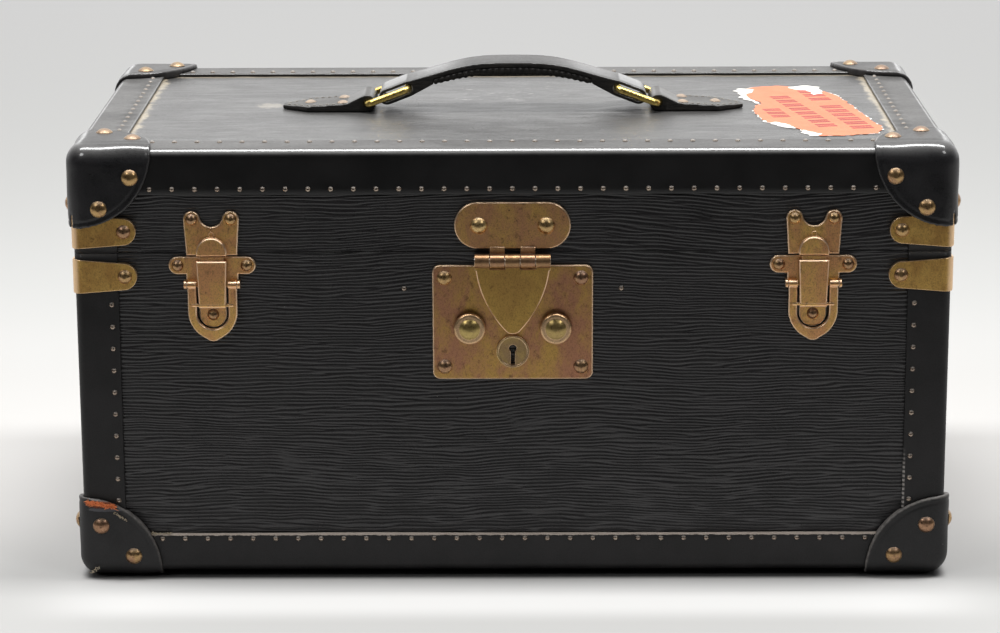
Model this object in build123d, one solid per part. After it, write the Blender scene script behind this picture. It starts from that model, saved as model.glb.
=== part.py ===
from build123d import *
import os
from math import asin, atan2, degrees, hypot

os.makedirs("parts", exist_ok=True)

# A leather-covered vanity case with a lift lid, in millimetres.
# The origin is on the floor under the middle of the case.
# X runs to the right as seen from the front, Y to the back and Z up.

# Overall size, measured over the edge bindings
case_width = 400.0
case_depth = 220.0
case_top = 203.5
split_z = 155.5
split_gap = 0.3

# Wall layers, from outside to inside
cap_thick = 2.8
binding_thick = 1.4
leather_thick = 1.2
panel_thick = 5.0
lining_thick = 0.8
edge_round = 4.0
cap_round = 10.0

# Edge bindings and corner caps
post_binding_width = 20.0
base_binding_high = 18.7
base_binding_under = 20.0
lid_binding_high = 21.3
lid_binding_over = 22.0
cap_reach = 36.6
cap_rivet_near = 12.5
cap_rivet_far = 27.0
foot_rivet_near = 11.4
foot_rivet_far = 26.1

# Brass corner angles
angle_thick = 1.0
angle_end_x = 28.7
angle_end_radius = 6.2
angle_root_high = 16.1
lid_angle_drop = 2.0
body_angle_drop = 2.8
angle_rivet_x = 23.2

# Fasteners
nail_head = 2.5
nail_dome = 0.9
nail_pitch = 10.4
nail_from_base_edge = 2.6
nail_from_post_edge = 3.3
nail_from_lid_edge = 2.8
nail_from_top_edge = 5.0
lid_row_margin = 35.4
base_row_margin = 36.6
post_row_low = 34.8
post_row_drop = 24.3
lone_nail_x = 49.6
lone_nail_z = 138.3
cap_rivet_head = 7.8
cap_rivet_dome = 1.9
angle_rivet_head = 6.6
angle_rivet_dome = 1.8
plate_rivet_head = 7.0
plate_rivet_dome = 1.9
small_rivet_head = 5.5
small_rivet_dome = 1.7
hasp_rivet_head = 8.0
hasp_rivet_dome = 2.4
hinge_rivet_head = 5.0
hinge_rivet_dome = 1.3
chape_rivet_head = 5.6
chape_rivet_dome = 1.2
shank_radius = 1.2
shank_in_wood = 3.5

# Lock on the front of the body
lock_plate_half = 36.7
lock_plate_low = 95.7
lock_plate_high = 149.5
lock_plate_thick = 1.6
lock_plate_corner = 3.5
plate_bevel = 0.5
lock_rivet_inset_x = 5.5
lock_rivet_inset_z = 6.0
button_x = 19.7
button_z = 120.4
button_head = 14.5
button_collar_high = 2.6
button_cap_head = 9.6
button_cap_dome = 1.9
button_stem = 9.0
button_gap = 0.1
button_flange = 11.0
button_flange_thick = 1.0
button_travel = 1.8
button_collar_round = 1.2
key_z = 109.2
key_disc = 15.0
key_disc_thick = 1.2
key_rim_thick = 0.5
key_rim_width = 0.9
keyhole_round = 3.6
keyhole_slot_width = 2.0
keyhole_drop = 7.8
keyhole_up = 1.4
lock_case_half = 26.5
lock_case_low = 99.5
lock_case_high = 145.5
lock_case_wall = 1.0
lock_slot_half = 3.2
lock_slot_low = 124.0
follower_radius = 5.2
follower_thick = 1.6
follower_arm = 8.0
follower_arm_width = 3.0
journal_radius = 1.5
keyway_high = 5.0
keyway_deep = 1.0
bolt_half = 9.0
bolt_low = 119.5
bolt_high = 138.0
bolt_thick = 1.4
inner_gap = 0.3

# Hasp on the lid and the tongue that hangs over the lock plate
hasp_half = 26.5
hasp_low = 157.1
hasp_high = 178.8
hasp_rivet_x = 15.3
hasp_thick = 1.6
barrel_radius = 3.2
barrel_z = 152.0
barrel_out = 4.2
barrel_half = 17.4
barrel_bore = 1.45
running_gap = 0.05
knuckle_gap = 0.15
tongue_half = 17.0
tongue_top = 148.3
tongue_shoulder = 3.2
tongue_belly = 2.65
tongue_tip_edge = 118.6
tongue_tip = 117.3
tongue_thick = 1.4
tongue_stud_half = 2.4
tongue_stud_low = 125.0
tongue_stud_high = 131.0
stud_gap = 0.1
hasp_arm_lap = 1.0

# Draw latches, placed left and right of the lock
latch_from_end = 63.0
catch_half = 11.6
catch_low = 154.4
catch_lobe_x = 8.9
catch_lobe_z = 171.1
catch_lobe_radius = 3.8
catch_valley_low = 167.6
catch_thick = 1.6
hood_radius = 6.9
hood_centre_z = 155.9
hood_out = 4.0
hood_wall = 1.1
base_thick = 1.2
wing_half = 19.9
wing_low = 145.4
wing_high = 153.7
wing_rivet_x = 15.7
base_half = 11.9
base_low = 139.4
tab_half = 6.2
tab_rivet_z = 126.6
lug_thick = 1.2
lug_radius = 1.9
lever_axis_z = 141.0
lever_axis_out = 3.1
lever_pin_radius = 0.9
lever_eye_radius = 1.7
lever_half = 11.3
lever_slot_half = 7.3
lever_thick = 2.0
lever_back = 1.7
lever_straight_z = 127.8
lever_shoulder_x = 8.9
lever_shoulder_z = 120.6
lever_tip_x = 3.0
lever_tip_edge = 115.6
lever_tip = 114.4
lever_slot_z = 127.5
hook_top = 152.1
hook_half_top = 6.9
hook_half_low = 6.1
hook_back = 3.3
hook_thick = 1.4
hook_pin_z = 131.5
hook_pin_out = 3.2
hook_pin_radius = 0.75
hook_barrel_radius = 1.5
hook_lip_half = 5.4
hook_lip_top = 154.1
hook_lip_back = 2.0
hook_lip_thick = 1.2
hook_fold_high = 1.6

# Hinges on the back
hinge_from_end = 82.0
hinge_half = 21.0
hinge_leaf_high = 22.0
hinge_leaf_thick = 1.6
hinge_leaf_start = 3.4
hinge_corner = 3.0
hinge_arm_lap = 1.2
hinge_rivet_x = 14.0
hinge_rivet_row = 9.0
hinge_rivet_low_row = 17.0

# Handle, its links and its chapes
strap_half = 12.0
strap_thick = 2.6
pad_thick = 2.4
pad_end_x = 38.0
strap_rise = 23.9
strap_flank_x = 21.0
strap_flank_drop = 1.2
strap_neck_x = 42.0
strap_neck_drop = 6.6
loop_inner_x = 50.3
loop_inner_rise = 11.2
loop_outer_x = 60.5
loop_outer_rise = 7.3
loop_leather = 1.7
loop_gap = 0.5
wedge_drop = 1.2
link_rod_radius = 1.65
link_half_width = 14.85
link_corner = 3.0
link_pivot_x = 70.0
link_bar_lift = 0.3
chape_loop_radius = 4.2
chape_root_thick = 4.0
chape_tip_thick = 2.0
chape_taper_x = 99.0
chape_tip_x = 111.3
chape_tip_half = 2.5
chape_shoulder = 10.0
chape_wrap_x = 0.5
chape_wrap_z = 0.866
chape_rivet_near_x = 82.0
chape_rivet_near_y = 7.0
chape_rivet_far_x = 98.0

# Inside: ledges, tray and mirror
ledge_depth = 6.0
ledge_high = 8.0
tray_gap = 1.6
tray_top_below_rim = 2.0
tray_high = 31.0
tray_wall = 2.5
tray_floor_thick = 2.5
tray_seat_gap = 0.3
divider_thick = 2.0
divider_high = 22.0
tray_front_share = 0.42
front_cells = 3
back_cells = 2
tab_width = 18.0
tab_thick = 1.5
tab_high = 20.0
tab_above = 3.0
tab_y = 0.0
mirror_frame_half_x = 150.0
mirror_frame_half_y = 82.0
mirror_frame_width = 12.0
mirror_frame_thick = 5.0
mirror_glass_thick = 2.5
mirror_lip = 3.0
mirror_bevel = 1.5

# Places worked out from the sizes above
half_x = case_width / 2
half_y = case_depth / 2
under_z = cap_thick
skin_inset = binding_thick
wood_inset = skin_inset + leather_thick
lining_inset = wood_inset + panel_thick
room_inset = lining_inset + lining_thick
body_rim = split_z - split_gap / 2
lid_rim = split_z + split_gap / 2
face_y = half_y - skin_inset
face_x = half_x - skin_inset
leather_top = case_top - skin_inset
room_floor = under_z + room_inset
room_x = half_x - room_inset
room_y = half_y - room_inset
lid_ceiling = case_top - room_inset
latch_x = half_x - latch_from_end
hinge_x = half_x - hinge_from_end
strap_top = leather_top + strap_rise
strap_flank_z = strap_top - strap_flank_drop
strap_neck_z = strap_top - strap_neck_drop
loop_inner_z = leather_top + loop_inner_rise
loop_outer_z = leather_top + loop_outer_rise
link_bar_x = loop_inner_x
link_bar_z = loop_inner_z + link_bar_lift
signs = (-1, 1)
corners = [(sx, sy) for sx in signs for sy in signs]
base_align = (Align.CENTER, Align.CENTER, Align.MIN)
down_align = (Align.CENTER, Align.CENTER, Align.MAX)


def block(x, y, z):
    """A box between the low and high value given for each axis."""
    middle = Pos((x[0] + x[1]) / 2, (y[0] + y[1]) / 2, (z[0] + z[1]) / 2)
    return middle * Box(x[1] - x[0], y[1] - y[0], z[1] - z[0])


def layer_block(inset, low, high):
    """A sharp block this far inside the outer face of the bindings."""
    x = half_x - inset
    y = half_y - inset
    return block((-x, x), (-y, y), (low, high))


def body_block(inset, radius):
    """The body's outline at this inset, with rounded upright and bottom edges."""
    solid = layer_block(inset, under_z + inset, body_rim)
    edges = solid.edges().filter_by(Axis.Z) + solid.faces().sort_by(Axis.Z)[0].edges()
    return fillet(edges, radius)


def lid_block(inset, radius):
    """The lid's outline at this inset, with rounded upright and top edges."""
    solid = layer_block(inset, lid_rim, case_top - inset)
    edges = solid.edges().filter_by(Axis.Z) + solid.faces().sort_by(Axis.Z)[-1].edges()
    return fillet(edges, radius)


def front(out=0.0):
    """The plane this far in front of the front leather: sketch X is X, sketch Y is Z."""
    return Plane(origin=(0, -face_y - out, 0), x_dir=(1, 0, 0), z_dir=(0, -1, 0))


def back(out=0.0):
    return Plane(origin=(0, face_y + out, 0), x_dir=(-1, 0, 0), z_dir=(0, 1, 0))


def left(out=0.0):
    return Plane(origin=(-face_x - out, 0, 0), x_dir=(0, -1, 0), z_dir=(-1, 0, 0))


def right(out=0.0):
    return Plane(origin=(face_x + out, 0, 0), x_dir=(0, 1, 0), z_dir=(1, 0, 0))


def top(out=0.0):
    return Plane(origin=(0, 0, leather_top + out), x_dir=(1, 0, 0), z_dir=(0, 0, 1))


sides = ((front, half_x), (back, half_x), (left, half_y), (right, half_y))


def dome(diameter, height):
    """A round head that stands on its flat face at the origin."""
    radius = ((diameter / 2) ** 2 + height ** 2) / (2 * height)
    latitude = degrees(asin((radius - height) / radius))
    return Sphere(radius, arc_size1=latitude, align=base_align)


def place(plane, u, v, solid):
    return plane.location * Pos(u, v, 0) * solid


def shank(length):
    return Cylinder(shank_radius, length, align=down_align)


def rivet(diameter, height, length):
    return dome(diameter, height) + shank(length)


def cut(solids, tools):
    """Each solid less the tools whose boxes reach it."""
    result = []
    for solid in solids:
        box = solid.bounding_box()
        near = [tool for tool in tools if box.overlaps(tool.bounding_box())]
        piece = solid.cut(*near) if near else solid
        result += piece.solids()
    return result


def row(low, high, pitch):
    """Even places from low to high, as near as they come to this pitch."""
    gaps = max(1, round((high - low) / pitch))
    return [low + (high - low) * n / gaps for n in range(gaps + 1)]


def cylinder_x(radius, x, y, z):
    """A cylinder along X between the two values of x."""
    middle = Pos((x[0] + x[1]) / 2, y, z)
    return middle * Rot(0, 90, 0) * Cylinder(radius, x[1] - x[0])


nodes = {}


def keep(name, *pieces):
    """Store a node as a flat list of its separate solids."""
    nodes[name] = [solid for piece in pieces for solid in piece.solids()]


def wall_panels(inset, thick, low, high):
    """Four upright walls inside this outline: front, back, then the two ends between them."""
    x = half_x - inset
    y = half_y - inset
    front_wall = block((-x, x), (-y, thick - y), (low, high))
    back_wall = block((-x, x), (y - thick, y), (low, high))
    ends = [block(sorted((s * x, s * (x - thick))), (thick - y, y - thick), (low, high)) for s in signs]
    return front_wall, back_wall, ends


# Wooden panels of the body and the lid
wood_low = under_z + wood_inset
wood_top = case_top - wood_inset
body_bottom_panel = layer_block(wood_inset, wood_low, wood_low + panel_thick)
body_walls = wall_panels(wood_inset, panel_thick, wood_low + panel_thick, body_rim)
keep("body_bottom_panel", body_bottom_panel)
keep("body_front_panel", body_walls[0])
keep("body_back_panel", body_walls[1])
keep("body_end_panels", *body_walls[2])
lid_walls = wall_panels(wood_inset, panel_thick, lid_rim, wood_top - panel_thick)
keep("lid_top_panel", layer_block(wood_inset, wood_top - panel_thick, wood_top))
keep("lid_front_panel", lid_walls[0])
keep("lid_back_panel", lid_walls[1])
keep("lid_end_panels", *lid_walls[2])

# Leather outside and lining inside
skin_round = edge_round - skin_inset
body_skin = body_block(skin_inset, skin_round)
lid_skin = lid_block(skin_inset, skin_round)
keep("body_leather", body_skin - layer_block(wood_inset, wood_low, body_rim))
keep("lid_leather", lid_skin - layer_block(wood_inset, lid_rim, wood_top))
keep(
    "body_lining",
    layer_block(lining_inset, room_floor - lining_thick, body_rim)
    - layer_block(room_inset, room_floor, body_rim),
)
keep(
    "lid_lining",
    layer_block(lining_inset, lid_rim, lid_ceiling + lining_thick)
    - layer_block(room_inset, lid_rim, lid_ceiling),
)

# Leather bindings along the edges
body_edge = body_block(0, edge_round)
lid_edge = lid_block(0, edge_round)
base_binding_top = under_z + base_binding_high
lid_binding_low = case_top - lid_binding_high


def corner_posts(low, high):
    """Square posts at the four corners, as wide as the upright bindings."""
    x = half_x - post_binding_width
    y = half_y - post_binding_width
    return [
        block(sorted((sx * x, sx * half_x)), sorted((sy * y, sy * half_y)), (low, high))
        for sx, sy in corners
    ]


base_band = layer_block(0, under_z, base_binding_top) - layer_block(
    base_binding_under, under_z, under_z + skin_inset
)
keep("body_base_binding", (body_edge & base_band) - body_skin)
body_posts = [(body_edge & post) - body_skin for post in corner_posts(base_binding_top, body_rim)]
keep("body_corner_bindings", *body_posts)
lid_band = layer_block(0, lid_binding_low, case_top) - layer_block(
    lid_binding_over, leather_top, case_top
)
lid_binding = (lid_edge & lid_band) - lid_skin
for post in corner_posts(lid_rim, lid_binding_low):
    lid_binding += (lid_edge & post) - lid_skin
keep("lid_edge_binding", lid_binding)

# The two upright faces that meet at each corner, and the sketch sign of each face
face_of = {-1: front, 1: back}
end_of = {-1: left, 1: right}
sketch_sign = {front: 1, back: -1, left: -1, right: 1}


def corner_faces(sx, sy):
    """Each upright face of a corner with its sketch direction towards that corner."""
    face = face_of[sy]
    end = end_of[sx]
    return ((face, sketch_sign[face] * sx, half_x), (end, sketch_sign[end] * sy, half_y))


# Brass angles that wrap the corners beside the parting line
body_angle_z = split_z - body_angle_drop - angle_root_high / 2
lid_angle_z = split_z + lid_angle_drop + angle_root_high / 2


def brass_angle(sx, sy, middle_z, edge, skin):
    """A brass strip round one corner, tapering to a round end on each face."""
    pieces = []
    for face, direction, half in corner_faces(sx, sy):
        root = direction * (half + angle_thick)
        end = direction * (half - angle_end_x + angle_end_radius)
        outline = Polyline(
            (root, middle_z + angle_root_high / 2),
            (end, middle_z + angle_end_radius),
            (end, middle_z - angle_end_radius),
            (root, middle_z - angle_root_high / 2),
            close=True,
        )
        sketch = make_face(outline) + Pos(end, middle_z) * Circle(angle_end_radius)
        pieces.append(extrude(face() * sketch, amount=binding_thick + angle_thick))
    return ((pieces[0] + pieces[1]) & edge) - skin


angle_body_edge = body_block(-angle_thick, edge_round + angle_thick)
angle_lid_edge = lid_block(-angle_thick, edge_round + angle_thick)
body_angles = [brass_angle(sx, sy, body_angle_z, angle_body_edge, body_skin) for sx, sy in corners]
lid_angles = [brass_angle(sx, sy, lid_angle_z, angle_lid_edge, lid_skin) for sx, sy in corners]
keep("body_brass_angles", *body_angles)
keep("lid_brass_angles", *lid_angles)
nodes["body_brass_angles"] = cut(nodes["body_brass_angles"], nodes["body_corner_bindings"])
nodes["lid_brass_angles"] = cut(nodes["lid_brass_angles"], nodes["lid_edge_binding"])

# Leather corner caps, a quarter disc on each of the three faces of a corner
cap_depth = binding_thick + cap_thick


def corner_cap(sx, sy, flat_plane, corner_z, edge, skin):
    slabs = Pos(sx * half_x, sy * half_y, 0) * flat_plane.location * Cylinder(
        cap_reach, cap_depth, align=base_align
    )
    for face, direction, half in corner_faces(sx, sy):
        disc = Cylinder(cap_reach, cap_depth, align=base_align)
        slabs += place(face(), direction * half, corner_z, disc)
    return (slabs & edge) - skin


floor_plane = Plane(origin=(0, 0, under_z + skin_inset), x_dir=(1, 0, 0), z_dir=(0, 0, -1))
cap_body_edge = body_block(-cap_thick, cap_round)
cap_lid_edge = lid_block(-cap_thick, cap_round)
body_caps = [corner_cap(sx, sy, floor_plane, under_z, cap_body_edge, body_skin) for sx, sy in corners]
lid_caps = [corner_cap(sx, sy, top(), case_top, cap_lid_edge, lid_skin) for sx, sy in corners]
keep("body_corner_caps", *body_caps)
keep("lid_corner_caps", *lid_caps)
nodes["body_corner_caps"] = cut(
    nodes["body_corner_caps"], nodes["body_base_binding"] + nodes["body_corner_bindings"]
)
nodes["lid_corner_caps"] = cut(
    nodes["lid_corner_caps"], nodes["lid_edge_binding"] + nodes["lid_brass_angles"]
)

# Rivets of the caps and the angles
cap_shank = cap_depth + leather_thick + shank_in_wood
cap_rivet = rivet(cap_rivet_head, cap_rivet_dome, cap_shank)
angle_rivet = rivet(
    angle_rivet_head, angle_rivet_dome, binding_thick + angle_thick + leather_thick + shank_in_wood
)
body_cap_rivets = []
lid_cap_rivets = []
body_angle_rivets = []
lid_angle_rivets = []
for sx, sy in corners:
    for face, direction, half in corner_faces(sx, sy):
        plane = face(cap_depth)
        for near, far in ((0, 1), (1, 0)):
            u = half - (cap_rivet_near, cap_rivet_far)[near]
            lid_v = case_top - (cap_rivet_near, cap_rivet_far)[far]
            body_u = half + cap_thick - (foot_rivet_near, foot_rivet_far)[near]
            body_v = (foot_rivet_near, foot_rivet_far)[far]
            lid_cap_rivets.append(place(plane, direction * u, lid_v, cap_rivet))
            body_cap_rivets.append(place(plane, direction * body_u, body_v, cap_rivet))
        angle_plane = face(binding_thick + angle_thick)
        angle_u = direction * (half - angle_rivet_x)
        body_angle_rivets.append(place(angle_plane, angle_u, body_angle_z, angle_rivet))
        lid_angle_rivets.append(place(angle_plane, angle_u, lid_angle_z, angle_rivet))
    for near, far in ((0, 1), (1, 0)):
        u = sx * (half_x - (cap_rivet_near, cap_rivet_far)[near])
        v = sy * (half_y - (cap_rivet_near, cap_rivet_far)[far])
        lid_cap_rivets.append(place(top(cap_depth), u, v, cap_rivet))
keep("body_corner_rivets", *body_cap_rivets, *body_angle_rivets)
keep("lid_corner_rivets", *lid_cap_rivets, *lid_angle_rivets)

# Small tacks along the bindings
nail = dome(nail_head, nail_dome)
base_row_z = base_binding_top - nail_from_base_edge
lid_row_z = lid_binding_low + nail_from_lid_edge
body_nails = []
lid_nails = []
for face, half in sides:
    for u in row(base_row_margin - half, half - base_row_margin, nail_pitch):
        body_nails.append(place(face(binding_thick), u, base_row_z, nail))
    for u in row(lid_row_margin - half, half - lid_row_margin, nail_pitch):
        lid_nails.append(place(face(binding_thick), u, lid_row_z, nail))
    post_u = half - post_binding_width + nail_from_post_edge
    for u in (-post_u, post_u):
        for v in row(under_z + post_row_low, split_z - post_row_drop, nail_pitch):
            body_nails.append(place(face(binding_thick), u, v, nail))
for u in (-lone_nail_x, lone_nail_x):
    body_nails.append(place(front(), u, lone_nail_z, nail))
top_row_x = half_x - lid_binding_over + nail_from_top_edge
top_row_y = half_y - lid_binding_over + nail_from_top_edge
for u in row(lid_row_margin - half_x, half_x - lid_row_margin, nail_pitch):
    for v in (-top_row_y, top_row_y):
        lid_nails.append(place(top(binding_thick), u, v, nail))
for v in row(lid_row_margin - half_y, half_y - lid_row_margin, nail_pitch):
    for u in (-top_row_x, top_row_x):
        lid_nails.append(place(top(binding_thick), u, v, nail))
keep("body_nails", *body_nails)
keep("lid_nails", *lid_nails)


def bevelled(plate, plane_side):
    """Break the front edges of a plate that faces the front (0) or the back (-1)."""
    return chamfer(plate.faces().sort_by(Axis.Y)[plane_side].edges(), plate_bevel)


# Lock plate, its rivets and what sits on it
lock_mid_z = (lock_plate_low + lock_plate_high) / 2
lock_outline = Pos(0, lock_mid_z) * RectangleRounded(
    2 * lock_plate_half, lock_plate_high - lock_plate_low, lock_plate_corner
)
lock_plate = bevelled(extrude(front() * lock_outline, amount=lock_plate_thick), 0)
stem_hole = Cylinder(button_stem / 2 + button_gap, lock_plate_thick, align=base_align)
keyhole_z = key_z + keyhole_up
keyhole = Pos(0, keyhole_z) * Circle(keyhole_round / 2) + Pos(0, keyhole_z - keyhole_drop / 2) * Rectangle(
    keyhole_slot_width, keyhole_drop
)
keyhole_cut = extrude(front() * keyhole, amount=lock_plate_thick + key_disc_thick + key_rim_thick)
stud_slot = block(
    (-lock_slot_half, lock_slot_half),
    (-face_y - lock_plate_thick, -face_y),
    (lock_slot_low, lock_plate_high),
)
for s in signs:
    lock_plate -= place(front(), s * button_x, button_z, stem_hole)
keep("lock_plate", lock_plate - keyhole_cut - stud_slot)
plate_rivet = rivet(
    plate_rivet_head, plate_rivet_dome, lock_plate_thick + leather_thick + shank_in_wood
)
lock_rivet_x = lock_plate_half - lock_rivet_inset_x
lock_rivet_rows = (lock_plate_low + lock_rivet_inset_z, lock_plate_high - lock_rivet_inset_z)
keep(
    "lock_plate_rivets",
    *[
        place(front(lock_plate_thick), s * lock_rivet_x, z, plate_rivet)
        for s in signs
        for z in lock_rivet_rows
    ],
)
key_disc_solid = Cylinder(key_disc / 2, key_disc_thick + key_rim_thick, align=base_align)
key_dish = Cylinder(key_disc / 2 - key_rim_width, key_rim_thick, align=base_align)
key_escutcheon = key_disc_solid - Pos(0, 0, key_disc_thick) * key_dish
keep("key_escutcheon", place(front(lock_plate_thick), 0, key_z, key_escutcheon) - keyhole_cut)

# Push buttons, each one turned piece with a flange behind the plate
collar_gap = button_travel + inner_gap
button_stem_long = lock_plate_thick + collar_gap + inner_gap
collar = Cylinder(button_head / 2, button_collar_high, align=base_align)
collar = fillet(collar.edges().sort_by(Axis.Z)[-1], button_collar_round)
button = (
    collar
    + Pos(0, 0, button_collar_high) * dome(button_cap_head, button_cap_dome)
    + Cylinder(button_stem / 2, button_stem_long, align=down_align)
    + Pos(0, 0, -button_stem_long) * Cylinder(button_flange / 2, button_flange_thick, align=down_align)
)
for name, s in (("push_button_left", -1), ("push_button_right", 1)):
    keep(name, place(front(lock_plate_thick + collar_gap), s * button_x, button_z, button))

# Lock case in the thickness of the wall, with the follower that the key turns and the bolt
pocket_deep = leather_thick + panel_thick
lock_pocket = block(
    (-lock_case_half, lock_case_half),
    (-face_y, pocket_deep - face_y),
    (lock_case_low, lock_case_high),
)
case_room = block(
    (lock_case_wall - lock_case_half, lock_case_half - lock_case_wall),
    (-face_y, pocket_deep - lock_case_wall - face_y),
    (lock_case_low + lock_case_wall, lock_case_high - lock_case_wall),
)
journal_hole = Cylinder(journal_radius + running_gap, pocket_deep, align=down_align)
keep("lock_case", lock_pocket - case_room - place(front(), 0, key_z, journal_hole))
follower_deep = button_flange_thick + inner_gap
follower = (
    Cylinder(follower_radius, follower_thick, align=down_align)
    + Pos(0, follower_arm / 2, -follower_thick / 2)
    * Box(follower_arm_width, follower_arm, follower_thick)
    + Cylinder(journal_radius, pocket_deep - follower_deep, align=down_align)
)
keyway = Pos(0, keyhole_up) * Box(keyhole_slot_width, keyway_high, 2 * keyway_deep)
keep("key_follower", place(front(-follower_deep), 0, key_z, follower - keyway))
bolt_back = pocket_deep - lock_case_wall - inner_gap
keep(
    "lock_bolt",
    block(
        (-bolt_half, bolt_half),
        (bolt_back - bolt_thick - face_y, bolt_back - face_y),
        (bolt_low, bolt_high),
    ),
)
nodes["body_leather"] = cut(nodes["body_leather"], [lock_pocket])
nodes["body_front_panel"] = cut(nodes["body_front_panel"], [lock_pocket])


def spans(half):
    """Five knuckles side by side, with a small gap at each joint."""
    wide = 2 * half / 5
    return [(n * wide - half + knuckle_gap, (n + 1) * wide - half - knuckle_gap) for n in range(5)]


def knuckle(span, out, z, leaf_low, leaf_high, leaf_back, leaf_thick, side):
    """A bored knuckle with a short arm that joins it to its leaf, on the front or back."""
    y = side * (face_y + out)
    arm_y = sorted((side * (face_y + leaf_back), side * (face_y + leaf_back + leaf_thick)))
    arm = block(span, arm_y, (leaf_low, leaf_high))
    return (cylinder_x(barrel_radius, span, y, z) + arm) - cylinder_x(barrel_bore, span, y, z)


# Hasp plate, pin and tongue
hasp_mid_z = (hasp_low + hasp_high) / 2
hasp_outline = Pos(0, hasp_mid_z) * SlotOverall(2 * hasp_half, hasp_high - hasp_low)
hasp_plate = bevelled(extrude(front() * hasp_outline, amount=hasp_thick), 0)
barrel_back = barrel_out - barrel_radius
tongue_back = lock_plate_thick + inner_gap
hasp_spans = spans(barrel_half)
for span in hasp_spans[1::2]:
    hasp_plate += knuckle(
        span, barrel_out, barrel_z, barrel_z, hasp_low + hasp_arm_lap, barrel_back, hasp_thick, -1
    )
keep("hasp_plate", hasp_plate)
keep(
    "hasp_plate_rivets",
    *[
        place(
            front(hasp_thick),
            s * hasp_rivet_x,
            hasp_mid_z,
            rivet(hasp_rivet_head, hasp_rivet_dome, hasp_thick + leather_thick + shank_in_wood),
        )
        for s in signs
    ],
)
pin_radius = barrel_bore - running_gap
keep("hasp_pin", cylinder_x(pin_radius, (-barrel_half, barrel_half), -face_y - barrel_out, barrel_z))
edge_mid = Vector((tongue_half + tongue_shoulder) / 2, (tongue_top + tongue_tip_edge) / 2)
edge_way = Vector(tongue_half - tongue_shoulder, tongue_top - tongue_tip_edge).normalized()
belly = edge_mid + Vector(edge_way.Y, -edge_way.X) * tongue_belly
tongue_edge = (
    Line((-tongue_half, tongue_top), (tongue_half, tongue_top))
    + ThreePointArc((tongue_half, tongue_top), (belly.X, belly.Y), (tongue_shoulder, tongue_tip_edge))
    + ThreePointArc(
        (tongue_shoulder, tongue_tip_edge), (0, tongue_tip), (-tongue_shoulder, tongue_tip_edge)
    )
    + ThreePointArc((-tongue_shoulder, tongue_tip_edge), (-belly.X, belly.Y), (-tongue_half, tongue_top))
)
hasp_tongue = extrude(front(tongue_back) * make_face(tongue_edge), amount=tongue_thick)
hasp_tongue = bevelled(hasp_tongue, 0)
for span in hasp_spans[0::2]:
    hasp_tongue += knuckle(
        span, barrel_out, barrel_z, tongue_top - hasp_arm_lap, barrel_z, tongue_back, tongue_thick, -1
    )
hasp_tongue += block(
    (-tongue_stud_half, tongue_stud_half),
    (-face_y - tongue_back, -face_y - stud_gap),
    (tongue_stud_low, tongue_stud_high),
)
keep("hasp_tongue", hasp_tongue)

# Draw latch: the catch plate on the lid, with a hood over the hook
lobe_up = catch_lobe_z - catch_valley_low
valley_radius = (catch_lobe_x**2 + lobe_up**2 - catch_lobe_radius**2) / (
    2 * (catch_lobe_radius + lobe_up)
)
lobe = Vector(catch_lobe_x, catch_lobe_z)
valley = Vector(0, catch_valley_low + valley_radius)
meeting = lobe + (valley - lobe).normalized() * catch_lobe_radius
lobe_side = (catch_lobe_x + catch_lobe_radius, catch_lobe_z)
lobe_crown = (catch_lobe_x, catch_lobe_z + catch_lobe_radius)
catch_edge = (
    Line((-catch_half, catch_low), (catch_half, catch_low))
    + Line((catch_half, catch_low), lobe_side)
    + ThreePointArc(lobe_side, lobe_crown, (meeting.X, meeting.Y))
    + ThreePointArc((meeting.X, meeting.Y), (0, catch_valley_low), (-meeting.X, meeting.Y))
    + ThreePointArc(
        (-meeting.X, meeting.Y), (-lobe_crown[0], lobe_crown[1]), (-lobe_side[0], lobe_side[1])
    )
    + Line((-lobe_side[0], lobe_side[1]), (-catch_half, catch_low))
)
catch_outline = make_face(catch_edge)
catch_plate = bevelled(extrude(front() * catch_outline, amount=catch_thick), 0)
below_catch = Pos(0, catch_low - hood_radius) * Rectangle(3 * hood_radius, 2 * hood_radius)
hood_outline = Pos(0, hood_centre_z) * Circle(hood_radius) - below_catch
hollow_outline = Pos(0, hood_centre_z) * Circle(hood_radius - hood_wall) - below_catch
hood = extrude(front() * hood_outline, amount=hood_out)
hood = chamfer(hood.faces().sort_by(Axis.Y)[0].edges(), plate_bevel)
catch_plate += hood
catch_plate -= extrude(front() * hollow_outline, amount=hood_out - hood_wall)
small_rivet = rivet(small_rivet_head, small_rivet_dome, catch_thick + leather_thick + shank_in_wood)
catch_rivets = [
    place(front(catch_thick), s * catch_lobe_x, catch_lobe_z, small_rivet) for s in signs
]

# Draw latch: the base on the body
wing_z = (wing_low + wing_high) / 2
base_outline = (
    Pos(0, wing_z) * SlotOverall(2 * wing_half, wing_high - wing_low)
    + Pos(0, (base_low + wing_high) / 2) * Rectangle(2 * base_half, wing_high - base_low)
    + Pos(0, (tab_rivet_z + wing_low) / 2) * Rectangle(2 * tab_half, wing_low - tab_rivet_z)
    + Pos(0, tab_rivet_z) * Circle(tab_half)
)
latch_base = bevelled(extrude(front() * base_outline, amount=base_thick), 0)
lug_inner = lever_half + inner_gap
lever_y = -face_y - lever_axis_out
for s in signs:
    lug_span = sorted((s * lug_inner, s * (lug_inner + lug_thick)))
    latch_base += cylinder_x(lug_radius, lug_span, lever_y, lever_axis_z)
    latch_base += block(
        lug_span, (lever_y, -face_y), (lever_axis_z - lug_radius, lever_axis_z + lug_radius)
    )
    latch_base -= cylinder_x(lever_pin_radius, lug_span, lever_y, lever_axis_z)
base_rivet_places = ((-wing_rivet_x, wing_z), (wing_rivet_x, wing_z), (0, tab_rivet_z))
base_rivets = [place(front(base_thick), u, v, small_rivet) for u, v in base_rivet_places]
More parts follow.
